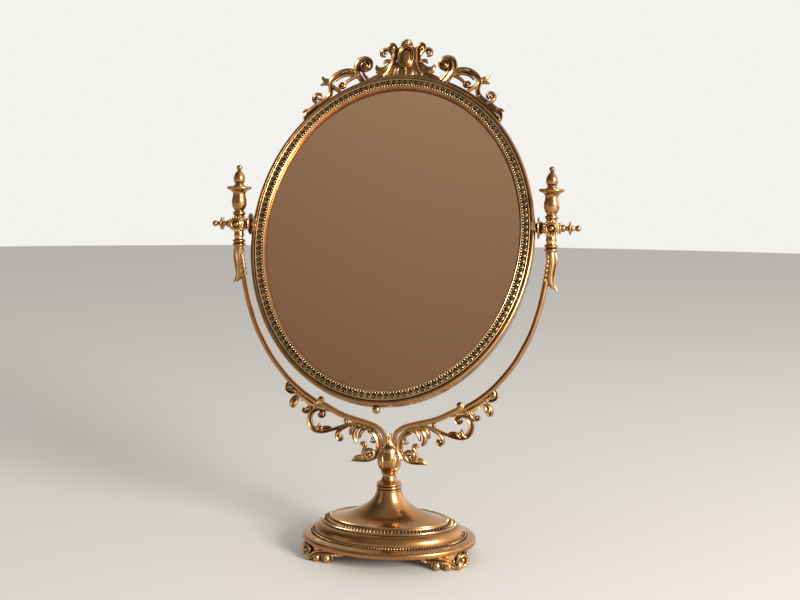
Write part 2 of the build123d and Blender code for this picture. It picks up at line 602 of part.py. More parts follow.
def arm_leaf():
    """A leaf that wraps the outer side of the rod below its collar and curls out at its tip."""
    with BuildPart() as leaf:
        for offset_x, drop, radius in LEAF_SECTIONS:
            with BuildSketch(Plane.XY.offset(ARM_COLLAR_BOTTOM - drop)):
                with Locations((PIVOT_BLOCK_X + offset_x, 0)):
                    Circle(radius)
        loft(ruled=True)
        add(arm_rod().part, mode=Mode.SUBTRACT)
        cut = 4 * LEAF_SECTIONS[0][2]
        with BuildSketch(Plane.XY.offset(ARM_COLLAR_BOTTOM)):
            with Locations((PIVOT_BLOCK_X - LEAF_WRAP - cut / 2, 0)):
                Rectangle(cut, cut)
        extrude(amount=-LEAF_SECTIONS[-1][1], mode=Mode.SUBTRACT)
    return leaf


def arm_collar():
    """The double-beaded collar where the rod enters the pivot block."""
    middle = (ARM_COLLAR_BOTTOM + BLOCK_BOTTOM) / 2
    with BuildPart() as collar:
        with BuildSketch(Plane(origin=(PIVOT_BLOCK_X, 0, 0), x_dir=(1, 0, 0), z_dir=(0, -1, 0))):
            with BuildLine() as outline:
                Line((0, ARM_COLLAR_BOTTOM), (BLOCK_NECK_RADIUS, ARM_COLLAR_BOTTOM))
                ThreePointArc((BLOCK_NECK_RADIUS, ARM_COLLAR_BOTTOM),
                              (ARM_COLLAR_RADIUS, ARM_COLLAR_BOTTOM + 2.0),
                              (ARM_COLLAR_RADIUS - 1.2, middle - 1.0))
                ThreePointArc((ARM_COLLAR_RADIUS - 1.2, middle - 1.0),
                              (ARM_COLLAR_RADIUS, middle + 0.8),
                              (ARM_COLLAR_RADIUS - 1.2, middle + 2.6))
                Line((ARM_COLLAR_RADIUS - 1.2, middle + 2.6), (BLOCK_NECK_RADIUS - 0.6, BLOCK_BOTTOM))
                Line((BLOCK_NECK_RADIUS - 0.6, BLOCK_BOTTOM), (0, BLOCK_BOTTOM))
                Line((0, BLOCK_BOTTOM), (0, ARM_COLLAR_BOTTOM))
            make_face()
        revolve(axis=Axis((PIVOT_BLOCK_X, 0, 0), (0, 0, 1)))
        with BuildSketch(Plane.XY.offset(ARM_COLLAR_BOTTOM)):
            with Locations((ROD_X, 0)):
                Circle(ROD_RADIUS + RUNNING_GAP)
        extrude(amount=ARM_COLLAR_HEIGHT, mode=Mode.SUBTRACT)
    return collar


def pivot_block():
    """The cross-shaped block: a hub from front to back, a neck up and down, a spindle boss across."""
    x = PIVOT_BLOCK_X
    across = Plane(origin=(x, 0, PIVOT_HEIGHT), z_dir=(1, 0, 0))
    with BuildPart() as block:
        with BuildSketch(Plane(origin=(x, 0, PIVOT_HEIGHT), z_dir=(0, -1, 0))):
            Circle(HUB_RADIUS)
        extrude(amount=HUB_HALF_LENGTH, both=True)
        chamfer(block.edges().filter_by(GeomType.CIRCLE), length=1.2)
        with BuildSketch(Plane.XY.offset(BLOCK_BOTTOM)):
            with Locations((x, 0)):
                Circle(BLOCK_NECK_RADIUS)
        extrude(amount=BLOCK_TOP - BLOCK_BOTTOM)
        with BuildSketch(across):
            Circle(SPINDLE_BOSS_RADIUS)
        extrude(amount=SPINDLE_BOSS_HALF_LENGTH, both=True)
        with BuildSketch(across):
            Circle(SCREW_BORE)
        extrude(amount=SPINDLE_BOSS_HALF_LENGTH, both=True, mode=Mode.SUBTRACT)
        with BuildSketch(Plane.XY.offset(BLOCK_BOTTOM)):
            with Locations((ROD_X, 0)):
                Circle(ROD_RADIUS + RUNNING_GAP)
        extrude(amount=ROD_LET_IN + SEAT_GAP, mode=Mode.SUBTRACT)
        with BuildSketch(Plane.XY.offset(BLOCK_TOP)):
            with Locations((x, 0)):
                Circle(SPIGOT_RADIUS + RUNNING_GAP)
        extrude(amount=-CUP_SPIGOT_LENGTH - SEAT_GAP, mode=Mode.SUBTRACT)
        with BuildSketch(Plane(origin=(x, -HUB_HALF_LENGTH, PIVOT_HEIGHT), z_dir=(0, -1, 0))):
            Circle(SPIGOT_RADIUS / 2 + RUNNING_GAP)
        extrude(amount=-ROSETTE_PEG_LENGTH - SEAT_GAP, mode=Mode.SUBTRACT)
    return block


def rosette():
    """A toothed round boss with a ring and a domed centre, pegged to the front of the hub."""
    face = Plane(origin=(PIVOT_BLOCK_X, -HUB_HALF_LENGTH, PIVOT_HEIGHT), z_dir=(0, -1, 0))
    front = face.offset(ROSETTE_THICKNESS)
    with BuildPart() as boss:
        with BuildSketch(face):
            Circle(ROSETTE_RADIUS)
            with PolarLocations(ROSETTE_RADIUS, ROSETTE_TEETH):
                Circle(ROSETTE_RADIUS / ROSETTE_TEETH, mode=Mode.SUBTRACT)
        extrude(amount=ROSETTE_THICKNESS)
        with BuildSketch(front):
            Circle(ROSETTE_RING_RADIUS)
            Circle(ROSETTE_DOME_RADIUS + 0.8, mode=Mode.SUBTRACT)
        extrude(amount=1.0)
        with Locations(front.offset(-0.8).location):
            Sphere(ROSETTE_DOME_RADIUS)
        with BuildSketch(face):
            Circle(ROSETTE_RADIUS)
        extrude(amount=-2 * ROSETTE_DOME_RADIUS, mode=Mode.SUBTRACT)
        with BuildSketch(face):
            Circle(SPIGOT_RADIUS / 2)
        extrude(amount=-ROSETTE_PEG_LENGTH)
    return boss


def candle_cup():
    """The candle socket: a bead, a bellied cup and a wide drip pan, with a spigot below."""
    x = PIVOT_BLOCK_X
    profile_plane = Plane(origin=(x, 0, 0), x_dir=(1, 0, 0), z_dir=(0, -1, 0))
    belly = BLOCK_TOP + 13.0
    with BuildPart() as cup:
        with BuildSketch(profile_plane):
            with BuildLine() as outline:
                Line((0, BLOCK_TOP), (BLOCK_NECK_RADIUS - 0.4, BLOCK_TOP))
                ThreePointArc((BLOCK_NECK_RADIUS - 0.4, BLOCK_TOP),
                              (BLOCK_NECK_RADIUS + 1.4, BLOCK_TOP + 2.2),
                              (BLOCK_NECK_RADIUS, BLOCK_TOP + 4.4))
                ThreePointArc((BLOCK_NECK_RADIUS, BLOCK_TOP + 4.4), (CUP_BELLY_RADIUS, belly),
                              (CUP_BELLY_RADIUS - 1.1, PAN_TOP - 7.0))
                ThreePointArc((CUP_BELLY_RADIUS - 1.1, PAN_TOP - 7.0),
                              (CUP_BELLY_RADIUS + 0.8, PAN_TOP - 3.8),
                              (PAN_RADIUS - 0.2, PAN_TOP - 2.6))
                ThreePointArc((PAN_RADIUS - 0.2, PAN_TOP - 2.6), (PAN_RADIUS, PAN_TOP - 1.3),
                              (PAN_RADIUS - 0.6, PAN_TOP))
                Line((PAN_RADIUS - 0.6, PAN_TOP), (PAN_RADIUS - PAN_RIM, PAN_SEAT))
                Line((PAN_RADIUS - PAN_RIM, PAN_SEAT), (0, PAN_SEAT))
                Line((0, PAN_SEAT), (0, BLOCK_TOP))
            make_face()
        revolve(axis=Axis((x, 0, 0), (0, 0, 1)))
        with BuildSketch(Plane.XY.offset(BLOCK_TOP)):
            with Locations((x, 0)):
                Circle(SPIGOT_RADIUS)
        extrude(amount=-CUP_SPIGOT_LENGTH)
        with BuildSketch(Plane.XY.offset(PAN_SEAT)):
            with Locations((x, 0)):
                Circle(SPIGOT_RADIUS + RUNNING_GAP)
        extrude(amount=-FINIAL_SPIGOT_LENGTH - SEAT_GAP, mode=Mode.SUBTRACT)
    return cup


def finial():
    """An acorn with a ball on top, which stands in the candle socket on its spigot."""
    x = PIVOT_BLOCK_X
    profile_plane = Plane(origin=(x, 0, 0), x_dir=(1, 0, 0), z_dir=(0, -1, 0))
    ball = PAN_SEAT + FINIAL_HEIGHT - FINIAL_BALL_RADIUS
    with BuildPart() as acorn:
        with BuildSketch(profile_plane):
            with BuildLine() as outline:
                Line((0, PAN_SEAT), (FINIAL_BASE_RADIUS, PAN_SEAT))
                Line((FINIAL_BASE_RADIUS, PAN_SEAT), (FINIAL_BASE_RADIUS - 0.4, PAN_SEAT + 4.0))
                ThreePointArc((FINIAL_BASE_RADIUS - 0.4, PAN_SEAT + 4.0), (ACORN_RADIUS, PAN_SEAT + 9.0),
                              (2.0, ball - 2.8))
                Line((2.0, ball - 2.8), (1.6, ball - 2.0))
                Line((1.6, ball - 2.0), (0, ball - 2.0))
                Line((0, ball - 2.0), (0, PAN_SEAT))
            make_face()
        revolve(axis=Axis((x, 0, 0), (0, 0, 1)))
        with Locations((x, 0, ball)):
            Sphere(FINIAL_BALL_RADIUS)
        with BuildSketch(Plane.XY.offset(PAN_SEAT)):
            with Locations((x, 0)):
                Circle(SPIGOT_RADIUS)
        extrude(amount=-FINIAL_SPIGOT_LENGTH)
    return acorn


def spacer_washer():
    """A dished washer between the frame's boss and the pivot block, round the pivot screw."""
    with BuildPart() as washer:
        inner = Plane(origin=(SPACER_INNER_FACE, 0, PIVOT_HEIGHT), z_dir=(1, 0, 0))
        with BuildSketch(inner):
            Circle(SPACER_RADIUS)
        with BuildSketch(inner.offset(SPACER_RIM)):
            Circle(SPACER_RADIUS)
        loft()
        with BuildSketch(inner.offset(SPACER_RIM)):
            Circle(SPACER_RADIUS)
        with BuildSketch(inner.offset(SPACER_WIDTH)):
            Circle(SPINDLE_BOSS_RADIUS + 0.6)
        loft()
        with BuildSketch(inner):
            Circle(SCREW_RADIUS + BODY_GAP)
        extrude(amount=SPACER_WIDTH, mode=Mode.SUBTRACT)
    return washer


def pivot_screw():
    """The plain pivot pin: it holds the knob, runs through the block and ends in the frame's boss."""
    with BuildPart() as screw:
        with BuildSketch(Plane(origin=(SCREW_TIP, 0, PIVOT_HEIGHT), z_dir=(1, 0, 0))):
            Circle(SCREW_RADIUS)
        extrude(amount=KNOB_FACE + KNOB_SOCKET - SCREW_TIP)
        chamfer(screw.edges().filter_by(GeomType.CIRCLE), length=SCREW_RADIUS / 5)
    return screw


def knob():
    """A turned finger knob: a bead, a waist, a thin disc, a cone and a ball at the tip."""
    axis_plane = Plane(origin=(0, 0, PIVOT_HEIGHT), x_dir=(1, 0, 0), z_dir=(0, -1, 0))
    ball = KNOB_FACE + KNOB_LENGTH - KNOB_BALL_RADIUS
    disc = KNOB_FACE + 7.6
    with BuildPart() as turned:
        with BuildSketch(axis_plane):
            with BuildLine() as outline:
                Line((KNOB_FACE, 0), (KNOB_FACE, 3.2))
                ThreePointArc((KNOB_FACE, 3.2), (KNOB_FACE + 2.2, 3.6), (KNOB_FACE + 4.2, 2.4))
                ThreePointArc((KNOB_FACE + 4.2, 2.4), (KNOB_FACE + 5.6, 2.2), (disc, KNOB_DISC_RADIUS - 0.6))
                ThreePointArc((disc, KNOB_DISC_RADIUS - 0.6), (disc + 0.9, KNOB_DISC_RADIUS),
                              (disc + 1.8, KNOB_DISC_RADIUS - 0.6))
                ThreePointArc((disc + 1.8, KNOB_DISC_RADIUS - 0.6), (disc + 2.6, 3.0), (ball - 2.2, 1.8))
                Line((ball - 2.2, 1.8), (ball - 2.2, 0))
                Line((ball - 2.2, 0), (KNOB_FACE, 0))
            make_face()
        revolve(axis=Axis((0, 0, PIVOT_HEIGHT), (1, 0, 0)))
        with Locations((ball, 0, PIVOT_HEIGHT)):
            Sphere(KNOB_BALL_RADIUS)
        with BuildSketch(Plane(origin=(KNOB_FACE, 0, PIVOT_HEIGHT), z_dir=(1, 0, 0))):
            Circle(SCREW_BORE)
        extrude(amount=KNOB_SOCKET, mode=Mode.SUBTRACT)
    return turned


arm_makers = {
    "arm_rod": arm_rod,
    "scroll_bracket": scroll_bracket,
    "arm_leaf": arm_leaf,
    "arm_collar": arm_collar,
    "pivot_block": pivot_block,
    "rosette": rosette,
    "candle_cup": candle_cup,
    "finial": finial,
    "spacer_washer": spacer_washer,
    "pivot_screw": pivot_screw,
    "knob": knob,
}
for name, make in arm_makers.items():
    right = make()
    with BuildPart() as left:
        mirror(right.part, about=Plane.YZ)
    pieces[f"right_{name}"] = right
    pieces[f"left_{name}"] = left


def frame_oval(inset):
    """The frame outline drawn in by an inset, centred where the frame is."""
    with Locations((0, FRAME_CENTRE)):
        Ellipse(FRAME_HALF_WIDTH - inset, FRAME_HALF_HEIGHT - inset)


def frame_loft(sections, mode=Mode.ADD):
    """A ruled solid through ovals of the frame, each given as inset and height off its plane."""
    faces = []
    for inset, height in sections:
        with BuildSketch(MIRROR_PLANE.offset(height)) as section:
            frame_oval(inset)
        faces.append(section.sketch.face())
    loft(faces, ruled=True, mode=mode)


def frame_slice(inset, back, front, mode=Mode.ADD):
    """A flat oval plate of the frame between two heights off its plane."""
    with BuildSketch(MIRROR_PLANE.offset(back)) as section:
        frame_oval(inset)
    extrude(section.sketch, amount=front - back, mode=mode)


def edge_location(angle, inset):
    """A place on the frame's oval, turned so that its x axis points in towards the glass."""
    across, up = cos(radians(angle)), sin(radians(angle))
    normal = (FRAME_HALF_HEIGHT * across, FRAME_HALF_WIDTH * up)
    size = hypot(*normal)
    x = FRAME_HALF_WIDTH * across - inset * normal[0] / size
    y = FRAME_CENTRE + FRAME_HALF_HEIGHT * up - inset * normal[1] / size
    return Location((x, y, 0), (0, 0, degrees(atan2(-normal[1], -normal[0]))))


def on_frame(points):
    """The points of the crest's drawing, set on the frame's upper edge."""
    return [(x, y + FRAME_CENTRE + FRAME_HALF_HEIGHT * (1 - (x / FRAME_HALF_WIDTH) ** 2) ** 0.5)
            for x, y in points]


clip_screw_places = [edge_location(angle, CLIP_SCREW_INSET) for angle in CLIP_ANGLES]
lug_screw_places = on_frame([(-LUG_PLACE, -LUG_SCREW_INSET), (LUG_PLACE, -LUG_SCREW_INSET)])

# Mirror frame: a moulded oval ring with a rebate behind and a boss at each pivot
with BuildPart() as mirror_frame:
    frame_loft([(0.0, FRAME_BACK), (0.0, RIM_EDGE), (RIM_WIDTH * 0.3, RIM_EDGE + 2.8), (RIM_WIDTH, RIM_TOP)])
    frame_slice(BAND_INSET, RIM_EDGE, BAND_TOP)
    for side in (1, -1):
        with BuildSketch(Plane(origin=(side * BOSS_REACH, 0, PIVOT_HEIGHT), z_dir=(-side, 0, 0))):
            Circle(BOSS_RADIUS)
        extrude(amount=BOSS_REACH - FRAME_HALF_WIDTH + BOSS_RADIUS)
    frame_loft([(LINER_INSET, BAND_TOP), (LIP_INSET, GLASS_FACE)], mode=Mode.SUBTRACT)
    frame_slice(REBATE_INSET, FRAME_BACK, GLASS_FACE, mode=Mode.SUBTRACT)
    for side in (1, -1):
        with BuildSketch(Plane(origin=(side * BOSS_REACH, 0, PIVOT_HEIGHT), z_dir=(-side, 0, 0))):
            Circle(SCREW_BORE)
        extrude(amount=SCREW_DEPTH + SEAT_GAP, mode=Mode.SUBTRACT)
    with BuildSketch(MIRROR_PLANE.offset(FRAME_BACK)):
        with Locations(*clip_screw_places):
            Circle(FRAME_SCREW_RADIUS + RUNNING_GAP)
        with Locations(*lug_screw_places):
            Circle(FRAME_SCREW_RADIUS + RUNNING_GAP)
    extrude(amount=FRAME_SCREW_DEPTH + SEAT_GAP, mode=Mode.SUBTRACT)
    peg_plane = Plane(origin=MIRROR_PLANE.from_local_coords((0, FRAME_FOOT - 1.0, 0)),
                      z_dir=MIRROR_PLANE.y_dir)
    with BuildSketch(peg_plane):
        Circle(DROP_PEG_RADIUS + RUNNING_GAP)
    extrude(amount=DROP_PEG_LENGTH + SEAT_GAP + 1.0, mode=Mode.SUBTRACT)
pieces["mirror_frame"] = mirror_frame

# Glass, backing board and cover lie one behind the other in the rebate
with BuildPart() as mirror_glass:
    frame_slice(REBATE_INSET + SEAT_GAP, GLASS_BACK, GLASS_FACE)
pieces["mirror_glass"] = mirror_glass

with BuildPart() as backing_board:
    frame_slice(REBATE_INSET + SEAT_GAP, BOARD_BACK, GLASS_BACK)
pieces["backing_board"] = backing_board

with BuildPart() as back_cover:
    frame_slice(REBATE_INSET + SEAT_GAP, COVER_BACK, BOARD_BACK)
pieces["back_cover"] = back_cover

# Retaining clips: bent strips screwed to the back of the frame, pressing on the cover
with BuildPart() as retaining_clips:
    reach = CLIP_INNER_INSET - CLIP_OUTER_INSET
    with BuildSketch(MIRROR_PLANE.offset(FRAME_BACK)):
        with Locations(*[edge_location(angle, CLIP_OUTER_INSET + reach / 2) for angle in CLIP_ANGLES]):
            RectangleRounded(reach, CLIP_WIDTH, CLIP_WIDTH / 4)
    extrude(amount=-CLIP_THICKNESS)
    with BuildSketch(MIRROR_PLANE.offset(FRAME_BACK)):
        with Locations(*[edge_location(angle, CLIP_INNER_INSET - CLIP_FOOT_LENGTH) for angle in CLIP_ANGLES]):
            Rectangle(CLIP_FOOT_LENGTH, CLIP_WIDTH * 0.6)
    extrude(amount=COVER_BACK - FRAME_BACK)
    with BuildSketch(MIRROR_PLANE.offset(FRAME_BACK)):
        with Locations(*clip_screw_places):
            Circle(FRAME_SCREW_RADIUS + RUNNING_GAP)
    extrude(amount=-CLIP_THICKNESS, mode=Mode.SUBTRACT)
pieces["retaining_clips"] = retaining_clips


def frame_screws(places, head_seat):
    """Slotted round-head screws into the back of the frame, their heads on a seat behind it."""
    with BuildPart() as screws:
        with BuildSketch(MIRROR_PLANE.offset(head_seat)):
            with Locations(*places):
                Circle(FRAME_SCREW_RADIUS)
        extrude(amount=FRAME_BACK - head_seat + FRAME_SCREW_DEPTH)
        with BuildSketch(MIRROR_PLANE.offset(head_seat)):
            with Locations(*places):
                Circle(FRAME_SCREW_HEAD_RADIUS)
        extrude(amount=-FRAME_SCREW_HEAD_HEIGHT)
        with BuildSketch(MIRROR_PLANE.offset(head_seat - FRAME_SCREW_HEAD_HEIGHT)):
            with Locations(*places):
                Rectangle(2 * FRAME_SCREW_HEAD_RADIUS, FRAME_SCREW_HEAD_RADIUS / 4)
        extrude(amount=FRAME_SCREW_HEAD_HEIGHT / 2, mode=Mode.SUBTRACT)
    return screws


pieces["clip_screws"] = frame_screws(clip_screw_places, FRAME_BACK - CLIP_THICKNESS)
pieces["crest_screws"] = frame_screws(lug_screw_places, FRAME_BACK - LUG_THICKNESS)

# Drop ball under the frame, on a peg
with BuildPart() as bottom_ball:
    with Locations(MIRROR_PLANE.from_local_coords((0, FRAME_FOOT - DROP_BALL_OVERHANG, 0))):
        Sphere(DROP_BALL_RADIUS)
    frame_slice(0.0, -2 * DROP_BALL_RADIUS, 2 * DROP_BALL_RADIUS, mode=Mode.SUBTRACT)
    with BuildSketch(peg_plane):
        Circle(DROP_PEG_RADIUS)
    extrude(amount=DROP_PEG_LENGTH + 1.0)
pieces["bottom_ball"] = bottom_ball

# Crest wing: the scrolls on the right of the crest, which the left mirrors
with BuildPart() as crest_wing:
    with BuildSketch(MIRROR_PLANE.offset(CREST_BACK)):
        stroke(on_frame(PILLAR), PILLAR_WIDTH)
        stroke(on_frame(BIG_SCROLL), BIG_SCROLL_WIDTH)
        stroke(on_frame(WING), WING_WIDTH)
        for points in (SIDE_STALK, HEEL_LEAF, WING_TIP, WING_INNER):
            stroke(on_frame(points), TENDRIL_WIDTH)
    extrude(amount=CREST_FRONT - CREST_BACK)
    curls = [(PILLAR_CURL, CREST_CURL_RADIUS), (SIDE_CURL, CREST_SMALL_CURL_RADIUS),
             (LOW_CURL, CREST_SMALL_CURL_RADIUS), (BIG_CURL, CREST_CURL_RADIUS),
             (WING_CURL, CREST_CURL_RADIUS), (TAIL_CURL, CREST_CURL_RADIUS),
             (END_CURL, CREST_SMALL_CURL_RADIUS)]
    for point, radius in curls:
        x, y = on_frame([point])[0]
        with Locations(MIRROR_PLANE.from_local_coords((x, y, CREST_MIDDLE))):
            Sphere(radius)

# Crest: a flat pierced casting that sits on the rim, with two lugs down the back of the frame
with BuildPart() as crest:
    strip_foot = FRAME_CENTRE + (FRAME_HALF_HEIGHT + CREST_STRIP) * CREST_STRIP_START
    with BuildSketch(MIRROR_PLANE.offset(CREST_BACK)):
        frame_oval(-CREST_STRIP)
        with Locations((0, strip_foot + FRAME_HALF_HEIGHT / 2)):
            Rectangle(2 * FRAME_HALF_WIDTH, FRAME_HALF_HEIGHT, mode=Mode.INTERSECT)
        with Locations((0, CARTOUCHE_CENTRE)):
            Ellipse(CARTOUCHE_HALF_WIDTH + PILLAR_WIDTH / 2, CARTOUCHE_HALF_HEIGHT)
        with Locations((0, FRAME_CROWN + SHELL_RISE)):
            Circle(SHELL_RADIUS)
        with Locations((0, FRAME_CROWN)):
            Rectangle(2 * PILLAR[-1][0], 4 * CREST_STRIP)
    extrude(amount=CREST_FRONT - CREST_BACK)
    with BuildSketch(MIRROR_PLANE.offset(CREST_FRONT)):
        with Locations((0, CARTOUCHE_CENTRE)):
            Ellipse(CARTOUCHE_HALF_WIDTH, CARTOUCHE_HALF_HEIGHT)
    extrude(amount=CARTOUCHE_FRONT - CREST_FRONT)
    add(crest_wing.part)
    mirror(crest_wing.part, about=Plane.YZ)
    for side in (1, -1):
        x, seat = on_frame([(side * LUG_PLACE, 0.0)])[0]
        with BuildSketch(MIRROR_PLANE.offset(FRAME_BACK)):
            with Locations((x, seat)):
                Rectangle(LUG_WIDTH, 2 * LUG_RISE)
        extrude(amount=CREST_BACK - FRAME_BACK)
    frame_slice(0.0, FRAME_BACK, RIM_TOP, mode=Mode.SUBTRACT)
    for side in (1, -1):
        x, seat = on_frame([(side * LUG_PLACE, 0.0)])[0]
        with BuildSketch(MIRROR_PLANE.offset(FRAME_BACK)):
            with Locations((x, seat + (LUG_RISE - LUG_DROP) / 2)):
                Rectangle(LUG_WIDTH, LUG_DROP + LUG_RISE)
            with Locations((x, seat - LUG_SCREW_INSET)):
                Circle(FRAME_SCREW_RADIUS + RUNNING_GAP, mode=Mode.SUBTRACT)
        extrude(amount=-LUG_THICKNESS)
    with BuildSketch(MIRROR_PLANE.offset(CARTOUCHE_FRONT)):
        with Locations((0, CARTOUCHE_CENTRE)):
            Ellipse(CABOCHON_HALF_WIDTH, CABOCHON_HALF_HEIGHT)
    extrude(amount=-CABOCHON_SINK, mode=Mode.SUBTRACT)
pieces["crest"] = crest

# Cabochon: a low oval boss set in the cartouche
with BuildPart() as crest_cabochon:
    with BuildSketch(MIRROR_PLANE.offset(CARTOUCHE_FRONT - CABOCHON_SINK)):
        with Locations((0, CARTOUCHE_CENTRE)):
            Ellipse(CABOCHON_HALF_WIDTH - RUNNING_GAP, CABOCHON_HALF_HEIGHT - RUNNING_GAP)
    extrude(amount=CABOCHON_SINK)
    for share, rise in ((1.0, 0.0), (0.86, 0.6), (0.5, 1.0)):
        with BuildSketch(MIRROR_PLANE.offset(CARTOUCHE_FRONT + rise * CABOCHON_RISE)):
            with Locations((0, CARTOUCHE_CENTRE)):
                Ellipse(share * (CABOCHON_HALF_WIDTH - RUNNING_GAP),
                        share * (CABOCHON_HALF_HEIGHT - RUNNING_GAP))
    loft(ruled=True)
pieces["crest_cabochon"] = crest_cabochon

os.makedirs("parts", exist_ok=True)
for name, piece in pieces.items():
    piece.part.label = name
    export_step(piece.part, f"parts/{name}.step")
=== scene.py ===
# %% [markdown]
# # A brass dressing table mirror
# An oval glass hangs in a cast brass frame between two arms that end in candle sockets. The arms stand on a
# turned stem over an oval base with four ornate feet. The CAD frame gives every piece its place; this script
# dresses it with the mouldings, beads, leaves and scrolls that a caster and a chaser would give the metal.

# %% Load the frame
import math

import bmesh
import bpy
import numpy as np
from mathutils import Matrix, Vector


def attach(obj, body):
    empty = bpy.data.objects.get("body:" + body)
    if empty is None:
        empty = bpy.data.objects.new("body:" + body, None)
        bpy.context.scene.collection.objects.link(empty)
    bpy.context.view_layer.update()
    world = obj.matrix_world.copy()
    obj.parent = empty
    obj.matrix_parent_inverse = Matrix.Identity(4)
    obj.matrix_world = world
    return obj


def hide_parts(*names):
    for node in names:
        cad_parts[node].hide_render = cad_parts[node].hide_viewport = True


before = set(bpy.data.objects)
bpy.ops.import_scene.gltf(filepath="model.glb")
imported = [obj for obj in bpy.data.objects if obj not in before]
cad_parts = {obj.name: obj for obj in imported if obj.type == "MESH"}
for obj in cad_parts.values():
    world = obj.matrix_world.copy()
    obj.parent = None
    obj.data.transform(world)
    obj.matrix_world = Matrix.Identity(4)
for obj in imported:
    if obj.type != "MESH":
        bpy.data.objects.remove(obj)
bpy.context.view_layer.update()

# %% [markdown]
# ## Tools for turned, cast and strung shapes
# Shapes are drawn in millimetres and scaled to metres once, when a piece is finished. Three ways of making cover
# almost everything: a profile turned round an axis, an outline pulled along a path, and a small shape set down
# many times. A smooth path goes through its points by a Hermite curve, and a width may travel along with it.

# %% Finish a piece
MM = 0.001
SAME_PLACE = 0.002


def add_object(name, data):
    """An object with its data, in the scene."""
    made = bpy.data.objects.new(name, data)
    bpy.context.scene.collection.objects.link(made)
    return made


def finish_piece(shape, name, body, material, nodes, sharp):
    """Cleans a shape, makes it a piece on its body, and lets it stand for its CAD nodes."""
    bmesh.ops.remove_doubles(shape, verts=shape.verts, dist=SAME_PLACE)
    bmesh.ops.recalc_face_normals(shape, faces=shape.faces)
    for face in shape.faces:
        face.smooth = True
    for edge in shape.edges:
        edge.smooth = not edge.is_manifold or edge.calc_face_angle() < math.radians(sharp)
    bmesh.ops.scale(shape, vec=(MM, MM, MM), verts=shape.verts)
    mesh = bpy.data.meshes.new(name)
    shape.to_mesh(mesh)
    open_edges = sum(not edge.is_manifold for edge in shape.edges)
    shape.free()
    mesh.materials.append(material)
    piece = add_object(name, mesh)
    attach(piece, body)
    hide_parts(*nodes)
    triangles = sum(len(polygon.vertices) - 2 for polygon in mesh.polygons)
    print(f"{name}: {triangles} triangles, {open_edges} open edges")


# %% Put shapes together
def add_shape(target, shape, places=(Matrix.Identity(4),)):
    """Copies a shape into the target once for each place, and frees it."""
    source = bpy.data.meshes.new("shape")
    shape.to_mesh(source)
    shape.free()
    for place in places:
        copy = source.copy()
        copy.transform(place)
        target.from_mesh(copy)
        bpy.data.meshes.remove(copy)
    bpy.data.meshes.remove(source)


# %% Smooth path
def smooth_path(points, spacing=0.8, axes=3):
    """Points along a smooth curve through the given ones. All numbers of a point travel along it."""
    points = np.array(points, float)
    reach = np.maximum(np.linalg.norm(np.diff(points[:, :axes], axis=0), axis=1), 1e-4)
    slope = np.diff(points, axis=0) / reach[:, None]
    tangents = np.empty_like(points)
    tangents[1:-1] = ((slope[:-1] * reach[1:, None] + slope[1:] * reach[:-1, None])
                      / (reach[:-1] + reach[1:])[:, None])
    tangents[0] = 1.5 * slope[0] - 0.5 * (tangents[1] if len(points) > 2 else slope[0])
    tangents[-1] = 1.5 * slope[-1] - 0.5 * (tangents[-2] if len(points) > 2 else slope[-1])
    found = [points[0]]
    for i, length in enumerate(reach):
        steps = max(2, math.ceil(length / spacing))
        for step in range(1, steps + 1):
            t = step / steps
            found.append((2 * t**3 - 3 * t**2 + 1) * points[i] + (t**3 - 2 * t**2 + t) * length * tangents[i]
                         + (3 * t**2 - 2 * t**3) * points[i + 1] + (t**3 - t**2) * length * tangents[i + 1])
    return found


# %% Curl
def curl(points, centre, turn, last_radius, last_width):
    """Carries a path on as a spiral round a centre, by a turn in degrees."""
    x, z, width = points[-1][:3]
    start = math.atan2(z - centre[1], x - centre[0])
    first_radius = math.hypot(x - centre[0], z - centre[1])
    steps = max(3, round(abs(turn) / 40))
    more = []
    for step in range(1, steps + 1):
        share = step / steps
        angle = start + math.radians(turn) * share
        radius = first_radius + (last_radius - first_radius) * share
        more.append((centre[0] + radius * math.cos(angle), centre[1] + radius * math.sin(angle),
                     width + (last_width - width) * share))
    return list(points) + more


# %% Pull an outline along stations
UP = Vector((0, 0, 1))


def turn_to(x, y, z):
    """The turn that points X, Y and Z along three directions."""
    return Matrix((x, y, z)).transposed().to_4x4()


def extrude_through(shape, edges, stations):
    """Extrudes a ring of edges from each 4x4 station to the next, and gives the last ring."""
    for before, after in zip(stations, stations[1:]):
        made = bmesh.ops.extrude_edge_only(shape, edges=edges)["geom"]
        edges = [g for g in made if isinstance(g, bmesh.types.BMEdge) and g.is_boundary]
        verts = [g for g in made if isinstance(g, bmesh.types.BMVert)]
        bmesh.ops.transform(shape, matrix=after @ before.inverted(), verts=verts)
    return edges


def pull(shape, outline, stations, closed=False):
    """Pulls an outline through the stations, and joins its ends or caps them."""
    ring = [shape.verts.new(stations[0] @ Vector((a, b, 0))) for a, b in outline]
    first = [shape.edges.new((ring[i - 1], ring[i])) for i in range(len(ring))]
    last = extrude_through(shape, first, stations)
    if closed:
        bmesh.ops.bridge_loops(shape, edges=first + last)
    else:
        for rim in (first, last):
            bmesh.ops.contextual_create(shape, geom=rim)


# %% Outlines of a cast stroke
def circle(count):
    """A round outline of so many points."""
    return [(math.cos(math.tau * i / count), math.sin(math.tau * i / count)) for i in range(count)]


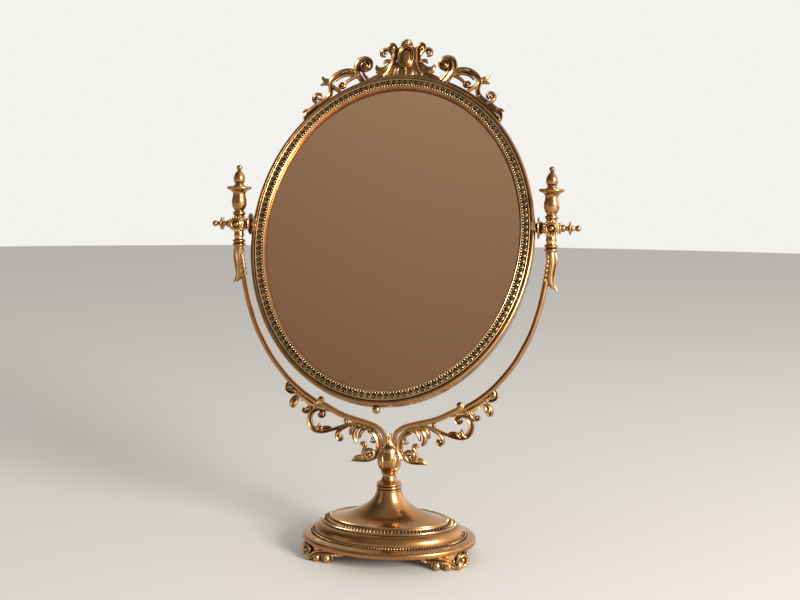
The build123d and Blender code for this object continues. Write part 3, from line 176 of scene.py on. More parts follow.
ROUND = circle(12)
CHANNEL = [(-1, 0.1), (-0.94, 0.62), (-0.72, 0.98), (-0.46, 0.86), (-0.24, 0.42), (0, 0.28), (0.24, 0.42),
           (0.46, 0.86), (0.72, 0.98), (0.94, 0.62), (1, 0.1), (0.86, -0.62), (0.45, -0.95), (0, -1),
           (-0.45, -0.95), (-0.86, -0.62)]
RIDGED = [(-1, -0.1), (-0.86, 0.32), (-0.5, 0.56), (-0.16, 0.9), (0, 1), (0.16, 0.9), (0.5, 0.56), (0.86, 0.32),
          (1, -0.1), (0.8, -0.66), (0.4, -0.94), (0, -1), (-0.4, -0.94), (-0.8, -0.66)]


# %% Ribbon and stroke
def ribbon(target, points, half_thickness, outward, outline=ROUND, spacing=0.8, round_ends=(True, True)):
    """A cast strand through (x, y, z, width) points, its face turned to the outward side."""
    path = smooth_path(points, spacing)
    line = [Vector(p[:3]) for p in path]
    half = [max(p[3], 0.12) / 2 for p in path]
    ahead = [(line[min(i + 1, len(line) - 1)] - line[max(i - 1, 0)]).normalized() for i in range(len(line))]
    rows = list(zip(line, ahead, half, [1.0] * len(line)))
    for end, sign in ((0, -1), (-1, 1)):
        if round_ends[end]:
            place, direction, wide, _ = rows[end]
            caps = []
            for angle in (30, 55, 75, 86):
                share = math.cos(math.radians(angle))
                caps.append((place + direction * sign * wide * math.sin(math.radians(angle)), direction,
                             wide * share, 0.35 + 0.65 * share))
            rows = caps[::-1] + rows if end == 0 else rows + caps
    stations = []
    for place, direction, wide, share in rows:
        out = Vector(outward(place) if callable(outward) else outward)
        side = direction.cross(out).normalized()
        out = side.cross(direction).normalized()
        thick = half_thickness * share * min(1.0, 0.45 + 0.55 * wide / max(half))
        stations.append(Matrix.Translation(place) @ turn_to(side, out, side.cross(out))
                        @ Matrix.Diagonal((wide, thick, 1, 1)))
    shape = bmesh.new()
    pull(shape, outline, stations)
    add_shape(target, shape)


def stroke(target, points, half_thickness, outline=ROUND, spacing=0.8, round_ends=(True, True), lift=0.0):
    """A cast strand in the XY plane of a drawing, its face towards Z. Points are (x, y, width)."""
    ribbon(target, [(x, y, lift, width) for x, y, width in points], half_thickness, (0, 0, 1), outline,
           spacing, round_ends)


# %% Ball, dome and turned shapes
def ball(target, centre, radius, squash=(1, 1, 1), segments=20, rings=12):
    """A ball, or a flattened one."""
    shape = bmesh.new()
    bmesh.ops.create_uvsphere(shape, u_segments=segments, v_segments=rings, radius=radius)
    add_shape(target, shape, [Matrix.Translation(centre) @ Matrix.Diagonal((*squash, 1))])


def bow(start, end, rise, steps=6):
    """Points on an arc from start to end, standing out to the left by the rise. The start is left out."""
    a, b = Vector(start), Vector(end)
    chord = b - a
    half = chord.length / 2
    if abs(rise) < 1e-4:
        return [tuple(b)]
    radius = (half**2 + rise**2) / (2 * rise)
    left = Vector((-chord.y, chord.x)).normalized()
    centre = (a + b) / 2 + left * (rise - radius)
    from_centre = a - centre
    sweep = -2 * math.asin(max(-1, min(1, half / abs(radius)))) * (1 if rise > 0 else -1)
    if abs(rise) > half:
        sweep = (-math.tau - sweep) if sweep < 0 else (math.tau - sweep)
    points = []
    for step in range(1, steps + 1):
        angle = sweep * step / steps
        turned = Vector((from_centre.x * math.cos(angle) - from_centre.y * math.sin(angle),
                         from_centre.x * math.sin(angle) + from_centre.y * math.cos(angle)))
        points.append(tuple(centre + turned))
    return points


AXIS = 0.01


def turned(target, profile, place=Matrix.Identity(4), steps=48, closed=False):
    """Turns a profile of (radius, height) points round the Z axis of a place. AXIS is as near as it comes."""
    shape = bmesh.new()
    verts = [shape.verts.new((r, 0, z)) for r, z in profile]
    edges = [shape.edges.new(pair) for pair in zip(verts, verts[1:])]
    if closed:
        edges.append(shape.edges.new((verts[-1], verts[0])))
    bmesh.ops.spin(shape, geom=verts + edges, axis=UP, cent=(0, 0, 0), angle=math.tau, steps=steps,
                   use_merge=True, use_duplicate=False)
    bmesh.ops.remove_doubles(shape, verts=shape.verts, dist=SAME_PLACE)
    bmesh.ops.remove_doubles(shape, verts=[v for v in shape.verts if v.co.xy.length < 1.5 * AXIS], dist=3 * AXIS)
    bmesh.ops.delete(shape, geom=[e for e in shape.edges if e.is_wire], context="EDGES")
    add_shape(target, shape, [place])


def turned_shape(profile, place=Matrix.Identity(4), steps=48):
    """A shape of its own, turned from a closed profile."""
    shape = bmesh.new()
    turned(shape, profile, place, steps, closed=True)
    return shape


def smooth_profile(points, spacing):
    """A smooth stretch of a profile."""
    return [tuple(p[:2]) for p in smooth_path(points, spacing, 2)]


# %% Oval mouldings and rows round an oval
def oval_moulding(target, sections, segments=224, place=Matrix.Identity(4)):
    """Pulls an oval ring through sections of (half width, half depth, height)."""
    shape = bmesh.new()
    bmesh.ops.create_circle(shape, cap_ends=False, segments=segments, radius=1.0)
    stations = [Matrix.Translation((0, 0, h)) @ Matrix.Diagonal((a, b, 1, 1)) for a, b, h in sections]
    bmesh.ops.transform(shape, matrix=stations[0], verts=shape.verts)
    first = list(shape.edges)
    last = extrude_through(shape, first, stations)
    bmesh.ops.bridge_loops(shape, edges=first + last)
    add_shape(target, shape, [place])


def oval_places(half_width, half_height, count, height=0.0, start=0.0):
    """Places at even steps of length round an oval: X points outwards, Y along the oval."""
    fine = np.linspace(0, math.tau, 4001)
    x, y = half_width * np.cos(fine), half_height * np.sin(fine)
    run = np.concatenate([[0], np.cumsum(np.hypot(np.diff(x), np.diff(y)))])
    places = []
    for i in range(count):
        angle = np.interp(((i + start) / count) * run[-1], run, fine)
        out = Vector((half_height * math.cos(angle), half_width * math.sin(angle), 0)).normalized()
        place = Vector((half_width * math.cos(angle), half_height * math.sin(angle), height))
        places.append(Matrix.Translation(place) @ turn_to(out, Vector((-out.y, out.x, 0)), UP))
    return places


def beads(target, places, radius, squash=(1, 1, 1), segments=8, rings=6):
    """A string of beads, one at each place."""
    shape = bmesh.new()
    bmesh.ops.create_uvsphere(shape, u_segments=segments, v_segments=rings, radius=radius)
    bmesh.ops.scale(shape, vec=squash, verts=shape.verts)
    add_shape(target, shape, places)


# %% [markdown]
# ## The photographer's place
# The camera stands a metre in front of the mirror and a little to its right, and looks slightly down. Its place
# was worked out from the ovals of the frame and the base. The lens shift puts the object where it is in the
# picture.

# %% Camera
yaw, pitch, roll = math.radians(10.03), math.radians(-2.2), math.radians(0.5)
ahead = Vector((-math.sin(yaw) * math.cos(pitch), math.cos(yaw) * math.cos(pitch), math.sin(pitch)))
level = Vector((math.cos(yaw), math.sin(yaw), 0))
upright = level.cross(ahead)
right = math.cos(roll) * level + math.sin(roll) * upright
upward = -math.sin(roll) * level + math.cos(roll) * upright
camera_data = bpy.data.cameras.new("camera")
camera_data.lens = 47.835
camera_data.sensor_width = 36.0
camera_data.shift_y = -0.085
camera = add_object("camera", camera_data)
camera.matrix_world = Matrix.Translation((0.1923, -1.0373, 0.362)) @ turn_to(right, upward, -ahead)
bpy.context.scene.camera = camera
bpy.context.scene.view_settings.view_transform = "Standard"

# %% [markdown]
# ## Floor and light
# A brass casting shows what stands round it, so the light has a direction: one strong soft lamp on the right, a
# weak one on the left, and a room that is bright towards the window and dim in the corner.

# %% Materials and nodes
def fill_node(tree, node, links=None, **values):
    """Sets a node's properties and input values, and links sockets into its inputs."""
    for key, value in values.items():
        if hasattr(node, key):
            setattr(node, key, value)
        else:
            node.inputs[key.replace("_", " ")].default_value = value
    for key, socket in (links or {}).items():
        tree.links.new(socket, node.inputs[key])
    return node


def add_node(tree, kind, links=None, **values):
    """Adds a node and fills it."""
    return fill_node(tree, tree.nodes.new(kind), links, **values)


def calculate(tree, operation, *terms, use_clamp=False):
    """The result of a Math node on sockets and numbers."""
    node = add_node(tree, "ShaderNodeMath", operation=operation, use_clamp=use_clamp)
    for term, socket in zip(terms, node.inputs):
        if isinstance(term, float):
            socket.default_value = term
        else:
            tree.links.new(term, socket)
    return node.outputs[0]


def map_range(tree, value, from_min, from_max, to_min=0.0, to_max=1.0, interpolation="LINEAR"):
    """A value carried from one range to another."""
    return add_node(tree, "ShaderNodeMapRange", {"Value": value}, interpolation_type=interpolation,
                    From_Min=from_min, From_Max=from_max, To_Min=to_min, To_Max=to_max).outputs[0]


def noise(tree, place, scale, detail, roughness=0.5):
    """Clouds or grain at a place, from 0 to 1."""
    return add_node(tree, "ShaderNodeTexNoise", {"Vector": place}, Scale=scale, Detail=detail,
                    Roughness=roughness).outputs["Fac"]


def new_material(name):
    """A material with only its Principled shader, its node tree, and that shader."""
    material = bpy.data.materials.new(name)
    material.use_nodes = True
    tree = material.node_tree
    return material, tree, tree.nodes["Principled BSDF"]


# %% Floor
floor_shape = bmesh.new()
bmesh.ops.create_circle(floor_shape, cap_ends=True, segments=96, radius=6.0)
floor_mesh = bpy.data.meshes.new("floor")
floor_shape.to_mesh(floor_mesh)
floor_shape.free()
floor = add_object("floor", floor_mesh)
floor_material, floor_tree, floor_shader = new_material("pale_floor")
fill_node(floor_tree, floor_shader, Base_Color=(0.74, 0.72, 0.69, 1), Roughness=0.62)
floor_mesh.materials.append(floor_material)

# %% Lamps
def soft_lamp(name, place, target, size, power, colour):
    """A square area lamp that looks at a point."""
    data = bpy.data.lights.new(name, "AREA")
    data.size, data.energy, data.color = size, power, colour
    lamp = add_object(name, data)
    lamp.location = place
    lamp.rotation_euler = (Vector(target) - Vector(place)).to_track_quat("-Z", "Y").to_euler()


soft_lamp("key", (2.1, -1.55, 1.0), (0, 0, 0.2), 0.9, 105.0, (1.0, 0.95, 0.87))
soft_lamp("fill", (-1.5, -0.9, 0.5), (0, 0, 0.25), 0.9, 1.2, (1.0, 0.97, 0.94))

# %% Room
world = bpy.data.worlds.new("room")
bpy.context.scene.world = world
world.use_nodes = True
room = world.node_tree
room.nodes.clear()
direction = add_node(room, "ShaderNodeTexCoord")
parts = add_node(room, "ShaderNodeSeparateXYZ", {"Vector": direction.outputs["Generated"]})
window = map_range(room, parts.outputs["X"], 0.1, 0.85, 0.34, 1.5, "SMOOTHSTEP")
corner = map_range(room, parts.outputs["X"], -0.8, -0.1, -0.26, 0.0, "SMOOTHSTEP")
wall = map_range(room, parts.outputs["Y"], 0.0, 0.8, 0.0, 0.55)
reflected = calculate(room, "ADD", calculate(room, "ADD", window, corner), wall)
path = add_node(room, "ShaderNodeLightPath")
mirrored = calculate(room, "MAXIMUM", path.outputs["Is Glossy Ray"], path.outputs["Is Transmission Ray"])
pale = add_node(room, "ShaderNodeBackground", {"Strength": reflected}, Color=(1.0, 0.975, 0.94, 1))
backdrop = add_node(room, "ShaderNodeBackground", Color=(0.90, 0.885, 0.86, 1), Strength=1.0)
ambient = add_node(room, "ShaderNodeBackground", Color=(1.0, 0.98, 0.95, 1), Strength=0.55)
lit = add_node(room, "ShaderNodeMixShader", {0: mirrored, 1: ambient.outputs[0], 2: pale.outputs[0]})
seen = add_node(room, "ShaderNodeMixShader", {0: path.outputs["Is Camera Ray"], 1: lit.outputs[0],
                                              2: backdrop.outputs[0]})
add_node(room, "ShaderNodeOutputWorld", {"Surface": seen.outputs[0]})
print("lamps, floor and room are in place")

# %% [markdown]
# ## Aged brass, with painted shade and painted highlights
# Old brass is not one colour. It browns where a cloth never reaches, stays gold on every ridge that hands and
# polish touch, and has faint clouds and fine scratches between. Here the browning in the hollows is patina and
# also painted shade, because it darkens where neighbouring parts close in. The gold on the ridges is wear and
# also a painted highlight. One node group works out all three from two masks: how deep a spot lies, and how
# sharp an edge it is. Each material places the group with its own colours.

# %% The patina and painted light group
def patina_and_painted_light_group():
    """Colour, roughness and height of aged metal, from how hollow and how exposed a spot is; hollows get patina and
    painted shade, ridges get wear and a painted highlight.
    """
    group = bpy.data.node_groups.new("patina_and_painted_light", "ShaderNodeTree")
    for name, kind in (("Vector", "Vector"), ("Hollow", "Float"), ("Edge", "Float"), ("Bright", "Color"),
                       ("Body", "Color"), ("Brown", "Color"), ("Age", "Float"), ("Smooth", "Float")):
        group.interface.new_socket(name, in_out="INPUT", socket_type="NodeSocket" + kind)
    for name, kind in (("Color", "Color"), ("Roughness", "Float"), ("Height", "Float")):
        group.interface.new_socket(name, in_out="OUTPUT", socket_type="NodeSocket" + kind)
    given = group.nodes.new("NodeGroupInput").outputs
    clouds = noise(group, given["Vector"], 60.0, 5.0, 0.6)
    grain = noise(group, given["Vector"], 700.0, 4.0, 0.65)
    grainy = map_range(group, grain, 0.3, 0.7, -0.05, 0.05)
    uneven = calculate(group, "ADD", map_range(group, clouds, 0.3, 0.7, -0.22, 0.3), grainy)
    # Browning of the hollows: patina, and painted shade where neighbouring parts close in.
    deep = calculate(group, "MULTIPLY_ADD", given["Hollow"], given["Age"], uneven)
    brown = add_node(group, "ShaderNodeClamp", {"Value": deep}).outputs[0]
    mixed = add_node(group, "ShaderNodeMix", data_type="RGBA")
    fill_node(group, mixed, {0: brown, 6: given["Body"], 7: given["Brown"]})
    # Gold on sharp edges: wear, and a painted highlight.
    wear_and_highlight = calculate(group, "MULTIPLY", given["Edge"], calculate(group, "SUBTRACT", 0.8, uneven), use_clamp=True)
    ridged = add_node(group, "ShaderNodeMix", data_type="RGBA")
    fill_node(group, ridged, {0: wear_and_highlight, 6: mixed.outputs[2], 7: given["Bright"]})
    dull = calculate(group, "MULTIPLY_ADD", brown, 0.22, given["Smooth"])
    rough = calculate(group, "ADD", dull, grainy, use_clamp=True)
    relief = calculate(group, "MULTIPLY_ADD", grain, 0.35, clouds)
    add_node(group, "NodeGroupOutput", {"Color": ridged.outputs[2], "Roughness": rough, "Height": relief})
    return group


PATINA_AND_PAINTED_LIGHT = patina_and_painted_light_group()


def aged_metal_with_painted_light(name, bright, body, brown, age=1.0, smooth=0.22, reach=0.004, relief=0.00002, edge=1.0,
               alone=False):
    """A metal that browns in its hollows, as patina and as painted shade, and is gold on its ridges, as wear and as a
    painted highlight; alone leaves out what its neighbours hide.
    """
    material, tree, shader = new_material(name)
    place = add_node(tree, "ShaderNodeTexCoord").outputs["Object"]
    # The first two masks count neighbouring parts unless alone, so they paint shade where parts close in.
    shade = add_node(tree, "ShaderNodeAmbientOcclusion", Distance=reach, samples=6, only_local=alone)
    close = add_node(tree, "ShaderNodeAmbientOcclusion", Distance=reach * 0.35, samples=6, only_local=alone)
    within = add_node(tree, "ShaderNodeAmbientOcclusion", Distance=reach * 0.22, samples=6, inside=True)
    dip = map_range(tree, shade.outputs["AO"], 0.4, 0.85, 1.0, 0.0)
    crack = map_range(tree, close.outputs["AO"], 0.55, 0.88, 1.0, 0.0)
    sharp = map_range(tree, within.outputs["AO"], 0.5, 0.95, edge, 0.0)
    patina_and_painted_light = add_node(tree, "ShaderNodeGroup", node_tree=PATINA_AND_PAINTED_LIGHT)
    fill_node(tree, patina_and_painted_light, {"Vector": place, "Hollow": calculate(tree, "MAXIMUM", dip, crack), "Edge": sharp},
              Bright=(*bright, 1), Body=(*body, 1), Brown=(*brown, 1), Age=age, Smooth=smooth)
    bump = add_node(tree, "ShaderNodeBump", {"Height": patina_and_painted_light.outputs["Height"]}, Strength=0.5, Distance=relief)
    fill_node(tree, shader, {"Base Color": patina_and_painted_light.outputs["Color"], "Roughness": patina_and_painted_light.outputs["Roughness"],
                             "Normal": bump.outputs["Normal"]}, Metallic=1.0, Coat_Weight=0.35, Coat_Roughness=0.16)
    return material


# %% Brasses and steel
brass = aged_metal_with_painted_light("aged_brass", (0.90, 0.64, 0.31), (0.42, 0.20, 0.066), (0.035, 0.012, 0.004), edge=0.9)
# The frame's brass is darker and its hollows reach farther: painted shade on the rim and in the recess by the glass.
shaded_frame_brass = aged_metal_with_painted_light("frame_brass_patina_and_painted_shade", (0.94, 0.70, 0.38), (0.37, 0.175, 0.056), (0.022, 0.007, 0.003),
                         reach=0.006, edge=1.0)
# The crest's brass is a darker copy with fainter ridges: painted shade.
shaded_crest_brass = aged_metal_with_painted_light("crest_brass_painted_shade", (0.76, 0.49, 0.22), (0.33, 0.145, 0.045), (0.028, 0.010, 0.0035),
                         edge=0.5)
# The feet's brass is lighter than the rest: painted light. Their hollows leave the floor out.
lit_foot_brass = aged_metal_with_painted_light("foot_brass_painted_light", (0.94, 0.70, 0.38), (0.58, 0.33, 0.13), (0.05, 0.02, 0.006),
                        reach=0.0026, alone=True)
# The liner's brass is darker: painted shade, for the shadow that the frame casts into it.
shaded_liner_brass = aged_metal_with_painted_light("liner_brass_painted_shade", (0.60, 0.36, 0.15), (0.17, 0.070, 0.022), (0.02, 0.007, 0.003),
                         edge=0.5)
smooth_brass = aged_metal_with_painted_light("smooth_brass_wear_and_painted_highlight", (0.92, 0.70, 0.38), (0.46, 0.23, 0.085), (0.05, 0.018, 0.006),
                          smooth=0.19, edge=0.7, relief=0.00001)
steel = aged_metal_with_painted_light("dull_steel", (0.62, 0.60, 0.57), (0.40, 0.38, 0.36), (0.10, 0.08, 0.06), age=0.8, smooth=0.32)
print("metals", [m.name for m in (brass, shaded_frame_brass, shaded_crest_brass, lit_foot_brass, shaded_liner_brass, smooth_brass, steel)])

# %% [markdown]
# ## Glass, board and cover
# The silvered glass's colour is a painted reflection: it gives back a slightly darker, warmer room than the one
# around it, and it is darker towards the foot. A metallic shader with almost no roughness is enough, because silvering
# is metal.

# %% Mirror glass
glass, glass_tree, glass_shader = new_material("silvered_glass")
glass_place = add_node(glass_tree, "ShaderNodeTexCoord").outputs["Object"]
glass_parts = add_node(glass_tree, "ShaderNodeSeparateXYZ", {"Vector": glass_place})
# The tint is a painted reflection of a warm room, darker towards the foot.
glass_painted_reflection = add_node(glass_tree, "ShaderNodeMix", data_type="RGBA")
fill_node(glass_tree, glass_painted_reflection, {0: map_range(glass_tree, glass_parts.outputs["Z"], 0.17, 0.47)})
glass_painted_reflection.inputs[6].default_value = (0.62, 0.32, 0.17, 1)
glass_painted_reflection.inputs[7].default_value = (0.92, 0.54, 0.31, 1)
glass_smear = map_range(glass_tree, noise(glass_tree, glass_place, 6.0, 3.0), 0.35, 0.7, 0.02, 0.10)
fill_node(glass_tree, glass_shader, {"Base Color": glass_painted_reflection.outputs[2], "Roughness": glass_smear}, Metallic=1.0)

# %% Backing board and back cover
def worn_sheet(name, stretch, blotches, ramp, pores, depth, roughness):
    """A sheet blotched between two colours; its relief follows finer pores, or the blotches without them."""
    material, tree, shader = new_material(name)
    place = add_node(tree, "ShaderNodeTexCoord").outputs["Object"]
    place = add_node(tree, "ShaderNodeMapping", {"Vector": place}, Scale=stretch).outputs[0]
    mottle = noise(tree, place, *blotches)
    colour = add_node(tree, "ShaderNodeValToRGB", {"Fac": mottle})
    for element, (position, shade) in zip(colour.color_ramp.elements, ramp):
        element.position, element.color = position, (*shade, 1)
    bump = add_node(tree, "ShaderNodeBump", {"Height": noise(tree, place, *pores) if pores else mottle},
                    Strength=0.4, Distance=depth)
    fill_node(tree, shader, {"Base Color": colour.outputs[0], "Normal": bump.outputs[0]}, Roughness=roughness)
    return material


board = worn_sheet("backing_board", (18.0, 18.0, 2.2), (14.0, 8.0, 0.7),
                   ((0.35, (0.16, 0.09, 0.045)), (0.68, (0.30, 0.19, 0.10))), None, 0.0003, 0.75)
cover = worn_sheet("cover_paint", (1.0, 1.0, 1.0), (26.0, 7.0, 0.68),
                   ((0.36, (0.10, 0.062, 0.03)), (0.66, (0.19, 0.12, 0.055))), (420.0, 2.0), 0.00008, 0.42)

# %% [markdown]
# ## The base
# The oval plinth and the dome over it are spun and filed castings. An oval ring is pulled through the sections
# of the moulding, so that every ridge and hollow runs true all round, and the bead strings are set down at even
# steps of length, as a beading tool leaves them.

# %% Plinth
BASE_HALF_WIDTH, BASE_HALF_DEPTH = 87.6, 64.8
PLINTH_BOTTOM = 14.2
SCREW_HOLE = 2.05
FOOT_SCREW_X, FOOT_SCREW_Y = 61.0, 34.0


def base_ovals(profile):
    """Sections of the base from (inset, height) points."""
    return [(BASE_HALF_WIDTH - inset, BASE_HALF_DEPTH - inset, height) for inset, height in profile]


def base_row(side_inset, front_inset, count, height, start=0.0):
    """Places round the base."""
    return oval_places(BASE_HALF_WIDTH - side_inset, BASE_HALF_DEPTH - front_inset, count, height, start)


def screw_boss(target, x, y, bottom, top):
    """The tube round a foot screw."""
    turned(target, [(SCREW_HOLE, bottom), (5.5, bottom), (5.5, top), (SCREW_HOLE, top)],
           Matrix.Translation((x, y, 0)), 24, closed=True)


plinth_profile = [(0.7, 14.2), (0.35, 14.35), (0.1, 14.9), (0.0, 15.8), (0.05, 16.8), (0.25, 17.9), (0.6, 18.7),
                  (1.1, 19.15), (3.0, 19.65), (5.5, 20.1), (7.4, 20.4), (7.9, 20.6), (8.4, 20.45), (8.7, 20.0),
                  (8.9, 19.3), (9.3, 18.8), (11.8, 18.8), (12.0, 20.4), (12.1, 21.8), (12.5, 22.2)]
plinth_profile += bow((12.5, 22.2), (20.3, 30.6), 2.3, 10)
plinth_profile += [(20.6, 31.0), (36.0, 31.0), (36.0, 28.2), (21.1, 28.2), (17.2, 24.0), (12.6, 18.4), (4.0, 17.0),
                   (4.0, 14.2)]
plinth = bmesh.new()
oval_moulding(plinth, base_ovals(plinth_profile))
beads(plinth, base_row(10.55, 10.2, 150, 20.8), 0.88, (1.15, 1, 1.7))
for sx in (1, -1):
    for sy in (1, -1):
        screw_boss(plinth, sx * FOOT_SCREW_X, sy * FOOT_SCREW_Y, PLINTH_BOTTOM, 19.6)
finish_piece(plinth, "plinth", "stand", brass, ["base_plinth"], 38)

# %% Dome
dome_profile = base_ovals([(20.2, 30.9), (19.7, 31.0), (19.6, 31.2), (19.75, 31.4), (20.3, 31.5), (21.2, 31.5),
                           (21.7, 31.4), (21.9, 31.2), (26.6, 33.3), (26.9, 34.6), (27.4, 35.2), (28.0, 35.75),
                           (28.6, 36.15), (29.2, 36.2), (29.7, 35.9), (30.1, 35.65), (31.0, 35.75)])
trumpet = smooth_path([(54.0, 32.2, 36.2), (44.0, 26.4, 38.7), (36.0, 23.2, 41.4), (29.0, 20.3, 44.8),
                       (23.6, 18.0, 47.9), (19.6, 16.3, 51.0), (16.0, 14.6, 55.0), (13.8, 13.3, 59.0),
                       (12.5, 12.4, 63.0)], 1.2)
dome_inner = [(3.0, 3.0, 63.0), (3.0, 3.0, 52.0), (6.0, 6.0, 52.0), (17.2, 13.6, 47.6), (26.7, 17.7, 41.8),
              (41.2, 23.7, 36.2), (55.7, 32.9, 33.6), (55.7, 32.9, 31.0)]
dome = bmesh.new()
oval_moulding(dome, dome_profile + [tuple(p) for p in trumpet] + dome_inner)
beads(dome, base_row(20.75, 20.75, 172, 32.0), 0.86, segments=6, rings=4)
beads(dome, base_row(28.0, 28.0, 190, 35.7), 0.52, segments=6, rings=4)

leaf = bmesh.new()
bmesh.ops.create_uvsphere(leaf, u_segments=8, v_segments=6, radius=1.0)
for vert in leaf.verts:
    reach = vert.co.x
    vert.co.y *= 1.0 - 0.45 * reach - 0.35 * reach**2
    vert.co.z *= 1.0 - 0.25 * reach
bmesh.ops.scale(leaf, vec=(2.4, 1.15, 1.35), verts=leaf.verts)
lean = Matrix.Rotation(math.radians(24), 4, "Y")
add_shape(dome, leaf, [place @ lean for place in base_row(24.4, 24.2, 96, 32.9)])
dart = bmesh.new()
bmesh.ops.create_cone(dart, cap_ends=True, segments=6, radius1=1.0, radius2=0.15, depth=2.4)
bmesh.ops.rotate(dart, matrix=Matrix.Rotation(math.radians(-90), 3, "Y"), verts=dart.verts)
bmesh.ops.scale(dart, vec=(1, 0.4, 0.5), verts=dart.verts)
add_shape(dome, dart, [place @ lean for place in base_row(23.8, 22.9, 96, 32.1, 0.5)])
finish_piece(dome, "dome", "stand", smooth_brass, ["base_dome"], 38)

# %% [markdown]
# ### The feet
# Each corner stands on a cast ornament: an arched rib over three toes, a volute that faces the corner,
# and a small curl where the rib dies into the rim. The feet's brass is lighter than the rest: painted light, for
# the lamp light that falls on them. One foot is built for the front right and mirrored to the
# other corners; the front left one stands a little further in.

# %% Feet
def outward_of_base(place):
    """The direction straight out of the base at a place."""
    return Vector((place.x / BASE_HALF_WIDTH**2, place.y / BASE_HALF_DEPTH**2, 0)).normalized()


def build_foot():
    """The front right foot."""
    foot = bmesh.new()
    plan = [(42.0, -43.0), (50.0, -42.6), (59.0, -41.0), (68.0, -38.0), (74.0, -34.5), (79.0, -28.0), (82.0, -21.0)]
    ribbon(foot, [(x * 0.97, y * 0.95, 10.6, 4.6) for x, y in plan], 3.5, (0, 0, 1),
           [(-1, -1), (-1, 1), (1, 1), (1, -1)], 1.5)
    rib = [(45.4, -43.8, 9.4, 3.6), (48.6, -45.2, 11.0, 4.8), (54.0, -46.2, 11.4, 5.6), (60.0, -45.8, 10.8, 5.6),
           (65.4, -44.4, 9.2, 5.2), (69.0, -43.0, 6.8, 4.4), (71.6, -41.2, 4.2, 3.4)]
    ribbon(foot, rib, 2.8, outward_of_base, CHANNEL)
    for x, y, top in ((55.2, -43.4, 11.4), (65.8, -41.6, 7.8), (75.4, -37.2, 6.4)):
        ball(foot, (x, y - 0.3, 3.9), 3.7, (1, 1, 1.15), 20, 14)
        drop = [(x, y, 3.4, 5.6), (x, y - 0.2, 5.0, 6.2), (x * 0.995, y, top * 0.8, 5.4),
                (x * 0.985, y * 0.98, top, 3.6)]
        ribbon(foot, drop, 3.0, outward_of_base)
    for x, y, top in ((60.4, -40.6, 9.6), (70.4, -37.4, 8.0), (50.6, -41.2, 9.6)):
        ribbon(foot, [(x, y, 3.4, 3.0), (x, y, top, 2.6)], 1.6, outward_of_base)
    ribbon(foot, [(47.6, -43.4, 11.8, 2.2), (44.0, -43.6, 11.8, 2.4), (42.2, -43.4, 9.4, 2.4), (44.0, -43.2, 7.2, 2.2),
                  (46.4, -43.2, 8.2, 1.6)], 1.7, outward_of_base)
    ball(foot, (44.4, -43.6, 9.4), 1.7)
    face = Vector((0.66, -0.75, 0)).normalized()
    corner = turn_to(UP.cross(face), UP, face)
    volute = bmesh.new()
    spiral = [(-2.6, 4.9, 2.2), (-5.2, 2.6, 2.4), (-5.6, -1.0, 2.4), (-3.8, -4.4, 2.4), (-0.4, -5.6, 2.4),
              (3.2, -4.6, 2.4), (5.2, -1.4, 2.4), (4.8, 2.2, 2.4), (2.2, 4.6, 2.4), (-1.0, 4.2, 2.2), (-2.9, 1.6, 2.0),
              (-2.4, -1.4, 1.8), (0.4, -2.6, 1.6)]
    stroke(volute, spiral, 1.8, lift=0.8)
    ball(volute, (0.4, 0.3, 1.2), 2.3)
    turned(volute, [(AXIS, -3.2), (5.2, -3.2), (5.4, 0.2), (AXIS, 0.4)], steps=28)
    for x, y, size in ((6.6, 4.2, 1.9), (8.0, 1.4, 1.9), (8.4, -1.6, 1.8), (7.4, -4.2, 1.6)):
        ball(volute, (x, y, -1.6), size, (1, 1, 1.2), 14, 8)
    add_shape(foot, volute, [Matrix.Translation((77.4, -32.6, 8.0)) @ corner])
    screw_boss(foot, FOOT_SCREW_X, -FOOT_SCREW_Y, 11.2, PLINTH_BOTTOM)
    for vert in foot.verts:
        vert.co.z = min(max(vert.co.z, 0.0), PLINTH_BOTTOM)
    return foot


FRONT_LEFT_INWARDS = 2.4
for end, sy in (("front", 1), ("rear", -1)):
    for hand, sx in (("left", -1), ("right", 1)):
        foot = build_foot()
        bmesh.ops.scale(foot, vec=(sx, sy, 1), verts=foot.verts)
        if (end, hand) == ("front", "left"):
            bmesh.ops.translate(foot, vec=(FRONT_LEFT_INWARDS, 0, 0), verts=foot.verts)
        # The feet's lighter brass is painted light.
        finish_piece(foot, f"{end}_{hand}_foot", "stand", lit_foot_brass, [f"foot_{end}_{hand}"], 45)

# %% [markdown]
# ## The stem
# Collar and vase are turned work with chasing on top: the belly of the vase carries raised teardrop leaves with
# a smooth eye, and pointed blades rise between them from the waist. A cone closes the vase under its tongue.

# %% Collar
collar_profile = [(3.0, 63.0), (12.1, 63.0), (12.5, 63.6), (12.6, 64.3), (12.2, 65.0), (11.6, 65.3)]
collar_profile += bow((11.7, 65.4), (11.8, 68.4), -1.1, 7) + [(11.6, 68.6)]
collar_profile += bow((11.8, 68.7), (11.2, 71.2), -0.9, 6)
collar_profile += [(10.4, 71.5), (9.2, 72.2), (8.2, 73.4), (7.4, 75.0), (6.9, 76.6), (6.7, 78.0), (3.0, 78.0)]
finish_piece(turned_shape(collar_profile, steps=64), "collar", "stand", brass, ["stem_collar"], 40)

# %% Vase
VASE_SIDE = [(6.6, 78.0), (6.9, 80.0), (7.7, 82.4), (8.9, 84.6), (10.0, 87.0), (10.9, 90.0), (11.2, 93.0),
             (10.9, 96.0), (10.1, 99.0), (8.9, 102.0), (7.6, 105.0)]
vase = turned_shape([(3.0, 96.0), (3.0, 78.0)] + smooth_profile(VASE_SIDE, 1.0)
                    + [(6.4, 105.4), (AXIS, 105.6), (AXIS, 96.0)], steps=64)


